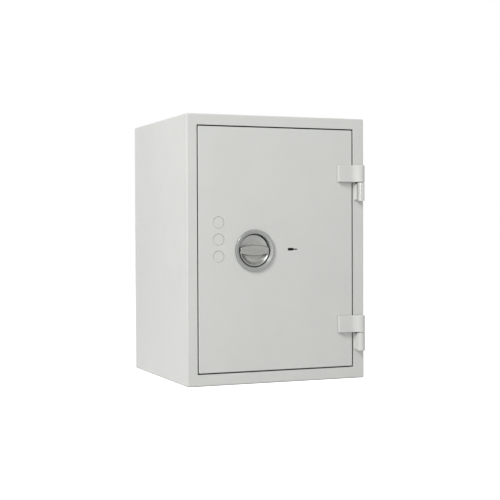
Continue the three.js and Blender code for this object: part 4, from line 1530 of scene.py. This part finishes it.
@dataclass
class Hinge:
    """A lift-off hinge: an arm on the door above a barrel on the cabinet."""

    coats: Coats
    where: str
    barrel_coat: Coat
    ease: float  # rounding at the barrel's lower end
    radius: float = 10.0 * MM
    reach: float = 58.5 * MM
    thickness: float = 10.0 * MM
    pin_radius: float = 5.0 * MM
    edge: float = 1.3 * MM
    round_off: float = 0.25 * MM
    knuckle_steps: int = 24
    swell_steps: int = 20
    weld_toe: float = 2.6 * MM
    weld_ripple: float = 0.12 * MM
    weld_hollow: float = 0.5 * MM
    weld_wrap: float = 1.45
    weld_start: float = 2 * MM
    weld_stop: float = 1 * MM
    weld_steps: int = 60
    weld_least: float = 0.4
    weld_taper: float = 0.2

    def __post_init__(self) -> None:
        """Finds the barrel's length, and the hinge axis at its lower end."""
        low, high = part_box(f"hinge_barrel_{self.where}")
        self.foot = Vector(((low.x + high.x) / 2, (low.y + high.y) / 2, low.z))
        self.tall = high.z - low.z

    def build(self) -> None:
        """Builds every piece of the hinge."""
        self.build_arm()
        self.build_barrel()
        for side, way in zip(SIDES, (-1, 1)):
            self.build_weld(side, way)
        self.build_washer()
        dress(self.coats.steel, f"hinge_pin_{self.where}")

    def outline(self) -> Path2D:
        """Draws the arm seen from above: a tongue that swells into the knuckle.

        Returns:
            Points of the outline.
        """
        r, tip = self.radius, -self.reach
        face = r - self.thickness
        points = [(tip, r), (0.0, r)]
        knuckle = (math.pi * k / self.knuckle_steps for k in range(1, self.knuckle_steps))
        points += [(r * math.sin(a), r * math.cos(a)) for a in knuckle]
        knots = ((0.0, -r), (-r, -r), (-1.4 * r, face), (-2.8 * r, face))
        for t in (k / self.swell_steps for k in range(self.swell_steps + 1)):
            weights = ((1 - t) ** 3, 3 * t * (1 - t) ** 2, 3 * t * t * (1 - t), t**3)
            points.append(tuple(sum(w * p[i] for w, p in zip(weights, knots)) for i in (0, 1)))
        rounding = ((2 * MM, 0.6 * MM), (0.5 * MM, 1.3 * MM), (0, 2.6 * MM))
        points += [(tip + u, face + v) for u, v in rounding]
        return [(self.foot.x + u, self.foot.y + v) for u, v in points]

    def build_arm(self) -> None:
        """Builds the arm on the door."""
        node = f"hinge_arm_{self.where}"
        low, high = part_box(node)
        arm = prism(f"arm_{self.where}", self.outline(), Along.UP, low.z, high.z, self.edge)
        hand_over(arm, Body.DOOR, self.coats.paint, node)

    def build_barrel(self) -> None:
        """Turns the barrel, bored for its pin."""
        bore, tall = self.pin_radius + SEAT, self.tall
        pin_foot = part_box(f"hinge_pin_{self.where}")[0].z - SEAT - self.foot.z
        path = rounded_path(
            [
                (0, 0, 0), (self.radius, 0, self.ease), (self.radius, tall, 0.7 * MM),
                (bore, tall, 0.4 * MM), (bore, pin_foot, 0), (0, pin_foot, 0),
            ],
            steps=6,
        )
        barrel = turned(f"barrel_{self.where}", path, self.foot, Along.UP, sides=72)
        hand_over(barrel, Body.CABINET, self.barrel_coat, f"hinge_barrel_{self.where}")

    def build_washer(self) -> None:
        """Turns the thrust washer between arm and barrel."""
        node = f"thrust_washer_{self.where}"
        low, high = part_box(node)
        bore, outer, thick = self.pin_radius + SEAT, high.x - self.foot.x, high.z - low.z
        corners = ((bore, 0), (outer, 0), (outer, thick), (bore, thick))
        path = rounded_path([(*corner, self.round_off) for corner in corners], steps=3, closed=True)
        place = Vector((self.foot.x, self.foot.y, low.z))
        washer = turned(f"washer_{self.where}", path, place, Along.UP)
        hand_over(washer, Body.CABINET, self.coats.zinc, node)

    def build_weld(self, side: str, way: int) -> None:
        """Lays a rippled fillet weld between the barrel and the cabinet's face.

        Args:
            side: left or right.
            way: -1 for the left side and 1 for the right.
        """
        r = self.radius
        face = r + SEAT
        run = self.tall - self.weld_start - self.weld_stop
        skin = Skin()
        loops = []
        for k in range(self.weld_steps + 1):
            up = self.weld_start + run * k / self.weld_steps
            from_end = min(k, self.weld_steps - k)
            taper = min(1.0, self.weld_least + self.weld_taper * from_end)
            angle = self.weld_wrap * taper
            ripple = self.weld_ripple * math.cos(math.pi * k)
            toe = Vector((r + self.weld_toe * taper + ripple, face))
            bead = Vector((r * math.sin(angle), r * math.cos(angle)))
            hollow = toe.lerp(bead, 0.45) - Vector((self.weld_hollow, 0))
            ring = (Vector((0.3 * r, face)), toe, hollow, bead)
            loops.append(skin.loop([self.foot + Vector((way * p.x, p.y, up)) for p in ring]))
        skin.bands(loops)
        skin.cap(loops[0], loops[-1])
        weld = skin.piece(f"weld_{self.where}_{side}", sharp=60)
        hand_over(weld, Body.CABINET, self.coats.paint)


# ------------------------------------------------------------------ the door


@dataclass
class DoorLeaf:
    """The door pan, its back plate with seal and inner cover, its caps and its fixed bolts."""

    coats: Coats
    rows: RowTree
    skin: float = 3.0 * MM
    rim: float = 2.0 * MM
    edge: float = 1.6 * MM
    pan_return: float = 8.0 * MM
    handle_hole: float = 41.0 * MM
    cap_hole: float = 14.0 * MM
    cap_radius: float = 13.7 * MM
    cap_flange: float = 1.5 * MM
    cap_sunk: float = 0.4 * MM
    cap_dome: float = 0.15 * MM
    dog_bore: float = 7.3 * MM
    cover_sheet: float = 1.2 * MM
    cover_flange: float = 9.0 * MM
    swage: float = 0.9 * MM
    swage_edge: float = 22.0 * MM
    swage_slope: float = 3.0 * MM
    swage_flat: float = 7.0 * MM
    screw_bore: float = 2.5 * MM
    screw_head: float = 2.0 * MM
    bore_reach: float = 5.0 * MM
    cross_arm: float = 1.9 * MM
    cross_half: float = 0.35 * MM
    cross_depth: float = 1.2 * MM
    key_shank: float = 3.4 * MM
    key_rise: float = 14.0 * MM
    key_half_width: float = 12.4 * MM
    key_thick: float = 6.4 * MM
    key_thin: float = 2.8 * MM

    def __post_init__(self) -> None:
        """Reads the places that the frame gives."""
        low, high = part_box("door_skin")
        self.front, self.rear = low.y, high.y
        self.leaf = rect_of("door_skin")
        self.screws = [f"cover_screw_{row}_{side}" for row in HINGE_ROWS for side in SIDES]

    def build(self) -> None:
        """Builds every piece fixed to the door."""
        self.build_pan()
        self.build_back()
        self.build_cover()
        self.build_screws()
        for k in (1, 2, 3):
            self.build_cap(k)
        for where in HINGE_ROWS:
            self.build_dog(where)
        seal = ribbed_seal("door_seal", toward_front=False)
        hand_over(seal, Body.DOOR, self.coats.seal, "door_seal")
        dress(self.coats.mineral, "door_insulation")

    def front_bore(self, centre: Vector, radius: float) -> Piece:
        """Makes a round cutter through the front skin."""
        return rod_cutter(Vector((centre.x, self.front, centre.z)), Along.INWARD, radius, self.skin + CLEAR)

    def keyhole(self) -> list[Piece]:
        """Makes the three cutters of the keyhole.

        Returns:
            A round shank, a thick bit to its left and a thin one to its right.
        """
        x, z = middle("lock_case").x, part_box("key_curtain")[0].z + self.key_rise
        y0, y1 = self.front - CLEAR, self.front + self.skin + CLEAR
        cutters = [self.front_bore(Vector((x, 0, z)), self.key_shank)]
        left, right = x - self.key_half_width, x + self.key_half_width
        for x0, x1, half in ((left, x, self.key_thick / 2), (x, right, self.key_thin / 2)):
            cutters.append(box_cutter(Vector((x0, y0, z - half)), Vector((x1, y1, z + half))))
        return cutters

    def build_pan(self) -> None:
        """Folds the door pan and cuts the holes of its front and its sides."""
        front, rear = self.front, self.rear
        inner = front + self.skin
        section = rounded_path(
            [
                (self.pan_return, inner, 0), (self.rim, inner, 1.0 * MM), (self.rim, rear, 0.3 * MM),
                (0, rear, 0.6 * MM), (0, front, self.edge), (self.pan_return, front, 0),
            ],
            steps=6,
        )
        bores = [self.front_bore(middle("handle_ring"), self.handle_hole)]
        bores += [self.front_bore(middle(f"blanking_cap_{k}"), self.cap_hole) for k in (1, 2, 3)]
        bores += self.keyhole()
        bores += bolt_bores(self.leaf.x0, self.leaf.x1, self.dog_bore, self.bore_reach)
        pan = lofted("door_pan", folded(self.leaf, 2.2 * MM, section, 0.8 * MM), capped=True, bores=bores)
        hand_over(pan, Body.DOOR, self.coats.paint, "door_skin")

    def screw_bores(self) -> list[Piece]:
        """Makes the cutters for the cover screws."""
        reach = 2 * self.bore_reach
        return [rod_cutter(middle(s), Along.INWARD, self.screw_bore, reach) for s in self.screws]

    def build_back(self) -> None:
        """Builds the plate that closes the pan."""
        low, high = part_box("door_back_plate")
        inset = self.pan_return
        path = rounded_path(
            [(inset, low.y, 0), (0, low.y, 0.3 * MM), (0, high.y, 0.5 * MM), (inset, high.y, 0)]
        )
        sections = folded(rect_of("door_back_plate"), 2 * MM, path, 1 * MM)
        plate = lofted("door_rear_plate", sections, capped=True, bores=self.screw_bores())
        hand_over(plate, Body.DOOR, self.coats.paint, "door_back_plate")

    def build_cover(self) -> None:
        """Presses the inner cover, with a border swaged round its face."""
        low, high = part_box("door_inner_cover")
        flange, sheet, border = self.cover_flange, self.cover_sheet, self.swage_edge
        inner_edge = border + self.swage_slope
        path = rounded_path(
            [
                (self.pan_return, high.y - sheet, 0), (sheet, high.y - sheet, 2.5 * MM),
                (sheet, low.y, 0.5 * MM), (-flange, low.y, 0.2 * MM),
                (-flange, low.y + sheet, 0.4 * MM), (0, low.y + sheet, 1.0 * MM), (0, high.y, 3.5 * MM),
                (border, high.y, 3.0 * MM), (inner_edge, high.y - self.swage, 3.0 * MM),
                (inner_edge + self.swage_flat, high.y - self.swage, 0),
            ],
            steps=6,
        )
        sections = folded(rect_of("door_inner_cover").inset(flange), 5 * MM, path, 3 * MM)
        cover = lofted("inner_cover", sections, capped=True, bores=self.screw_bores())
        hand_over(cover, Body.DOOR, self.coats.inner, "door_inner_cover")

    def build_screws(self) -> None:
        """Builds the cross-headed screws that hold the cover."""
        low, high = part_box(self.screws[0])
        radius, long = (high.x - low.x) / 2, high.y - low.y
        shank, under = self.screw_bore - SEAT, long - self.screw_head
        path = rounded_path(
            [
                (0, 0, 0), (shank, 0, 0.6 * MM), (shank, under, 0), (radius, under, 0.2 * MM),
                (radius, long - 0.4 * MM, 1.0 * MM), (0, long, 0),
            ]
        )
        arm, half = self.cross_arm, self.cross_half
        cross = [
            box_cutter(Vector((-u, long - self.cross_depth, -v)), Vector((u, long + MM, v)))
            for u, v in ((arm, half), (half, arm))
        ]
        first, last = middle(self.screws[0]), middle(self.screws[-1])
        first.y = last.y = low.y
        screw = turned("screw", path, Vector(), Along.INWARD, sides=28, bores=cross)
        zinc = self.coats.zinc.material
        piece = self.rows.repeat("cover_screws", screw, zinc, (first, last), rows=2)
        hand_over(piece, Body.DOOR, self.coats.zinc, *self.screws)

    def build_cap(self, number: int) -> None:
        """Builds a blanking cap, held by a flange behind the skin.

        Args:
            number: 1, 2 or 3.
        """
        node = f"blanking_cap_{number}"
        low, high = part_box(node)
        radius, flange, deep = self.cap_radius, (high.x - low.x) / 2, high.y - low.y
        back, rim = deep - self.cap_flange, self.cap_sunk + self.cap_dome
        path = rounded_path(
            [
                (0, self.cap_sunk, 0), (radius, rim, 0.5 * MM), (radius, back, 0.2 * MM),
                (flange, back, 0.3 * MM), (flange, deep, 0.3 * MM), (0, deep, 0),
            ]
        )
        place = middle(node)
        place.y = low.y
        cap = turned(f"cap_{number}", path, place, Along.INWARD, sides=80)
        hand_over(cap, Body.DOOR, self.coats.paint, node)

    def build_dog(self, where: str) -> None:
        """Builds a fixed bolt on the hinge side.

        Args:
            where: lower or upper.
        """
        node = f"dog_bolt_{where}"
        low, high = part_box(node)
        head, long = (high.z - low.z) / 2, high.x - low.x
        shank = self.dog_bore - SEAT
        shoulder = self.leaf.x1 - self.rim - SEAT - low.x
        path = rounded_path(
            [
                (0, 0, 0), (head, 0, 0.8 * MM), (head, shoulder, 0.4 * MM), (shank, shoulder, 0.3 * MM),
                (shank, long, 1.6 * MM), (0, long, 0),
            ]
        )
        place = middle(node)
        place.x = low.x
        hand_over(turned(f"dog_{where}", path, place, Along.X), Body.DOOR, self.coats.steel, node)


# ------------------------------------------------------------------ the handle


@dataclass
class Handle:
    """The ring on the door and the dished knob with a grip bar that turns inside it."""

    coats: Coats
    ring_radius: float = 49.5 * MM
    ring_bore: float = 39.3 * MM
    ring_wall: float = 1.4 * MM
    crest: float = 5.4 * MM
    tail: float = 10.0 * MM
    rim: float = 37.4 * MM
    rim_proud: float = 0.9 * MM
    rim_sunk: float = 6.5 * MM
    rim_round: float = 0.9 * MM
    rim_slope: float = 3.0
    change: float = 12.0 * MM  # height over which the rim passes from proud to sunk
    lip: float = 1.6 * MM
    floor: float = 9.0 * MM
    scoop: float = 6.2 * MM
    scoop_power: float = 1.6
    rear: float = 14.5 * MM
    rear_round: float = 2.5 * MM
    proud: float = 2.0 * MM
    grip_half: float = 11.9 * MM
    grip_end_half: float = 6.4 * MM
    grip_slope: float = 5.0
    crown: float = 0.9 * MM
    side_round: float = 1.6 * MM
    end_round: float = 1.8 * MM
    end_inset: float = 2.6 * MM
    fillet: float = 1.1 * MM
    columns: int = 110
    band_rows: int = 34
    grip_rows: int = 26
    grip_most: float = 0.999  # most of a column's height that the grip takes up

    def __post_init__(self) -> None:
        """Finds where the handle's axis meets the door's face."""
        self.centre = middle("handle_ring")
        self.centre.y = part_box("door_skin")[0].y

    def build(self) -> None:
        """Builds the ring and the knob."""
        self.build_ring()
        self.build_knob()
        dress(self.coats.zinc, "handle_spindle", "spindle_bearing")

    def build_ring(self) -> None:
        """Turns the ring: a rounded crest near its rim that slopes down to its bore."""
        outer, bore, crest = self.ring_radius, self.ring_bore, self.crest
        sleeve = bore + self.ring_wall
        path = rounded_path(
            [
                (sleeve, -SEAT, 0), (outer, -SEAT, 0.3 * MM), (outer, -0.85 * crest, 1.6 * MM),
                (outer - 3.0 * MM, -crest, 2.6 * MM), (bore + 1.0 * MM, -0.3 * crest, 2.4 * MM),
                (bore, 1.0 * MM, 1.2 * MM), (bore, self.tail, 0), (sleeve, self.tail, 0),
            ],
            steps=8,
            closed=True,
        )
        ring = turned("trim_ring", path, self.centre, Along.INWARD, sides=160)
        hand_over(ring, Body.DOOR, self.coats.nickel, "handle_ring")

    def grip_reach(self, x: float) -> float:
        """Returns half the grip bar's height at a distance from its middle."""
        return self.grip_half - (self.grip_half - self.grip_end_half) * (x / self.rim) ** 2

    @staticmethod
    def rolled(past: float, radius: float, slope: float) -> float:
        """Works out how far a surface falls past the point where its edge begins to round.

        Args:
            past: Distance past the start of the rounding.
            radius: Radius of the rounding.
            slope: Steepness of the wall below it.

        Returns:
            The fall.
        """
        if past <= 0:
            return 0.0
        turn = slope / math.sqrt(1 + slope * slope)
        if past < radius * turn:
            return radius - math.sqrt(radius * radius - past * past)
        return radius - math.sqrt(radius * radius * (1 - turn * turn)) + slope * (past - radius * turn)

    def depth(self, x: float, z: float) -> float:
        """Works out the knob's depth behind the door face.

        Args:
            x: Distance from the axis along the grip.
            z: Distance from the axis across it.

        Returns:
            The depth.
        """
        r = math.hypot(x, z)
        past = r - self.rim
        into = max(-past - self.lip, 0.0)
        above = min(max(0.5 + z / self.change, 0.0), 1.0)
        level = -self.rim_proud + (self.rim_sunk + self.rim_proud) * above * above * (3 - 2 * above)
        fall = (self.floor - level) * (1 - math.exp(-((into / self.scoop) ** self.scoop_power)))
        dish = level + fall + self.rolled(past + self.rim_round, self.rim_round, self.rim_slope)
        half = self.grip_reach(x)
        crown = self.crown * (min(abs(z) / half, 1.0) ** 2)
        side = self.rolled(abs(z) - half + self.side_round, self.side_round, self.grip_slope)
        end = self.rolled(past + self.end_inset, self.end_round, self.grip_slope)
        bar = -self.proud + crown + side + end
        near = max(self.fillet - abs(dish - bar), 0.0) / self.fillet
        return max(min(dish, bar) - near * near * self.fillet / 4, -self.proud)

    def build_knob(self) -> None:
        """Builds the knob as a grid whose rows follow the grip bar's edges, closed behind."""
        skin = Skin()
        columns = []
        for i in range(self.columns + 1):
            x = -self.rim * math.cos(math.pi * i / self.columns)
            reach = math.sqrt(max(self.rim**2 - x * x, 0.0))
            half = min(self.grip_reach(x), self.grip_most * reach)
            rows = [0.0] if reach < NOTHING else self.rows(half, reach)
            columns.append(skin.loop([self.place(x, z, self.depth(x, z)) for z in rows]))
        skin.bands(columns, closed=False)
        rim = [c[-1] for c in columns] + [c[0] for c in reversed(columns[1:-1])]
        loops = [rim]
        back = self.rear - self.rear_round
        for share, y in ((1.0, back), (1 - self.rear_round / self.rim, self.rear)):
            outline = [(v.co - self.centre) * share for v in rim]
            loops.append(skin.loop([self.place(p.x, p.z, y) for p in outline]))
        skin.bands(loops)
        skin.cap(loops[-1])
        hand_over(skin.piece("dished_knob", sharp=50), Body.HANDLE, self.coats.knob, "handle_knob")

    def place(self, x: float, z: float, depth: float) -> Vector:
        """Returns a point given from the handle's axis and the door's face."""
        return self.centre + Vector((x, depth, z))

    def rows(self, half: float, reach: float) -> list[float]:
        """Spaces the rows of one column, close together at the grip's edges and at the rim.

        Args:
            half: Half the grip's height there.
            reach: Half the knob's height there.

        Returns:
            Heights from bottom to top.
        """
        bar = [half * math.sin(math.pi * (k / self.grip_rows - 0.5)) for k in range(self.grip_rows + 1)]
        count = self.band_rows
        spread = [(1 - math.cos(math.pi * k / count)) / 2 for k in range(1, count + 1)]
        upper = [half + (reach - half) * s for s in spread]
        return [-z for z in reversed(upper)] + bar + upper


# ------------------------------------------------------------------ the boltwork and the lock


@dataclass
class Boltwork:
    """The throw bolts with their carrier and its guides."""

    coats: Coats
    tip: float = 2.2 * MM

    def build(self) -> None:
        """Turns each bolt and cuts its seat for the carrier."""
        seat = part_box("bolt_carrier")[0].x - SEAT
        for where in BOLT_ROWS:
            node = f"throw_bolt_{where}"
            low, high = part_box(node)
            long = high.x - low.x
            origin = Vector((low.x, low.y + BOLT_RADIUS, (low.z + high.z) / 2))
            path = rounded_path(
                [(0, 0, 0), (BOLT_RADIUS, 0, self.tip), (BOLT_RADIUS, long, 0.4 * MM), (0, long, 0)],
                steps=6,
            )
            corner = Vector((seat, high.y, low.z - MM))
            far = Vector((high.x + MM, high.y + BOLT_RADIUS, high.z + MM))
            bolt = turned(f"bolt_{where}", path, origin, Along.X, bores=[box_cutter(corner, far)])
            hand_over(bolt, Body.BOLTWORK, self.coats.steel, node)
        dress(self.coats.zinc, "bolt_carrier", "carrier_guide_lower", "carrier_guide_upper")


@dataclass
class KeyLock:
    """The lock behind the keyhole, whose pieces keep the frame's shapes."""

    coats: Coats

    def build(self) -> None:
        """Dresses the lock's pieces."""
        dress(self.coats.zinc, "lock_case", "lock_cover")
        # the key curtain's near-black steel is painted shade that darkens the keyhole
        dress(self.coats.keyhole_shade_steel, "key_curtain")
        dress(self.coats.steel, "lock_bolt")


# ------------------------------------------------------------------ the studio


@dataclass(frozen=True)
class Lamp:
    """An oblong soft lamp that points at the safe's middle."""

    name: str
    place: tuple[float, float, float]
    sides: tuple[float, float]
    power: float
    target: tuple[float, float, float] = (0, 0, 0.3)

    def build(self) -> None:
        """Adds the lamp."""
        data = bpy.data.lights.new(self.name, "AREA")
        data.shape = "RECTANGLE"
        data.size, data.size_y = self.sides
        data.energy = self.power
        lamp = bpy.data.objects.new(self.name, data)
        lamp.location = self.place
        ahead = Vector(self.target) - Vector(self.place)
        lamp.rotation_euler = ahead.to_track_quat("-Z", "Y").to_euler()
        bpy.context.scene.collection.objects.link(lamp)


@dataclass
class Studio:
    """A pale floor, soft light from the left, and the camera."""

    lamps: tuple[Lamp, ...] = (
        Lamp("key", (-2.4, -1.75, 2.6), (1.2, 1.2), 97.0),
        Lamp("fill", (2.2, -3.0, 1.6), (2.0, 2.0), 8.5),
        Lamp("strip", (-1.5, -2.6, 0.5), (0.25, 1.8), 6.0),
    )
    ambient: float = 0.5
    floor_half: float = 30.0
    floor_drop: float = 0.05 * MM
    floor_lift: float = 0.73
    floor_tones: tuple[float, float] = (0.59, 0.61)
    lens: float = 83.03
    eye: tuple[float, float, float] = (-1.10206, -2.7390, 0.36511)
    turn: float = 22.15
    pitch: float = 0.99
    roll: float = -0.23

    def build(self) -> None:
        """Builds the floor, the light and the camera."""
        bpy.context.scene.view_settings.view_transform = "Standard"
        self.build_world()
        self.build_floor()
        for lamp in self.lamps:
            lamp.build()
        self.build_camera()

    @staticmethod
    def seen(wiring: Wiring) -> Socket:
        """Finds what the camera sees directly, in a reflection or through glass.

        Args:
            wiring: The wiring to add to.

        Returns:
            1 for such light, and 0 for all other.
        """
        path = wiring.add("ShaderNodeLightPath").outputs
        both = wiring.maths("ADD", path["Is Camera Ray"], path["Is Glossy Ray"])
        return wiring.maths("ADD", both, path["Is Transmission Ray"], clamp=True)

    def build_world(self) -> None:
        """Lights the scene evenly from all round, and shows white behind the safe."""
        world = bpy.data.worlds.new("white_room")
        bpy.context.scene.world = world
        world.use_nodes = True
        world.node_tree.nodes.clear()
        wiring = Wiring(world.node_tree)
        white = (1, 1, 1, 1)
        light = wiring.add("ShaderNodeBackground", {"Color": white, "Strength": self.ambient})
        backdrop = wiring.add("ShaderNodeBackground", {"Color": white, "Strength": 1.0})
        inputs = {0: self.seen(wiring), 1: light.outputs[0], 2: backdrop.outputs[0]}
        mixed = wiring.add("ShaderNodeMixShader", inputs)
        wiring.add("ShaderNodeOutputWorld", {"Surface": mixed.outputs[0]})

    def build_floor(self) -> None:
        """Lays a wide pale floor that shows white where nothing shades it."""
        skin = Skin()
        half, z = self.floor_half, -self.floor_drop
        corners = ((-half, -half), (half, -half), (half, half), (-half, half))
        skin.cap(skin.loop([Vector((x, y, z)) for x, y in corners]))
        floor = skin.piece("studio_floor")
        material = bpy.data.materials.new("studio_paper")
        material.use_nodes = True
        wiring = Wiring(material.node_tree)
        point = wiring.add("ShaderNodeTexCoord").outputs["Object"]
        cloud = wiring.span(wiring.noise(point, 3.0, 4.0), 0.3, 0.7)
        dark, light = ((tone, tone, tone) for tone in self.floor_tones)
        inputs = {
            "Roughness": 0.9,
            "Specular IOR Level": 0.0,
            "Emission Color": (1, 1, 1, 1),
            "Base Color": wiring.blend(cloud, dark, light),
            "Emission Strength": wiring.maths("MULTIPLY", self.seen(wiring), self.floor_lift),
        }
        wiring.feed(material.node_tree.nodes["Principled BSDF"], inputs)
        floor.data.materials.append(material)

    def build_camera(self) -> None:
        """Sets the camera a little to the left of the door and just below its middle."""
        yaw, pitch, roll = (math.radians(a) for a in (self.turn, self.pitch, self.roll))
        right = Vector((math.cos(yaw), -math.sin(yaw), 0))
        ahead = Vector((math.sin(yaw), math.cos(yaw), 0))
        up = Along.UP.value
        tilted = up * math.cos(pitch) + ahead * math.sin(pitch)
        facing = ahead * math.cos(pitch) - up * math.sin(pitch)
        across = right * math.cos(roll) + tilted * math.sin(roll)
        upright = tilted * math.cos(roll) - right * math.sin(roll)
        data = bpy.data.cameras.new("camera")
        data.lens = self.lens
        camera = bpy.data.objects.new("camera", data)
        turn = Matrix((across, upright, -facing)).transposed().to_4x4()
        camera.matrix_world = Matrix.Translation(self.eye) @ turn
        bpy.context.scene.collection.objects.link(camera)
        bpy.context.scene.camera = camera


def main() -> None:
    """Builds the safe round its frame."""
    logging.basicConfig(level=logging.INFO, format="%(name)s: %(message)s")
    coats = Coats()
    rows = RowTree()
    Studio().build()
    parts = (
        CabinetBody(coats, rows),
        ShelfFittings(coats, rows),
        Hinge(coats, "lower", coats.paint, ease=3.2 * MM),
        Hinge(coats, "upper", coats.steel, ease=1.2 * MM),
        DoorLeaf(coats, rows),
        Handle(coats),
        Boltwork(coats),
        KeyLock(coats),
    )
    for part in parts:
        log.info("building %s", type(part).__name__)
        part.build()


if __name__ == "__main__":
    main()
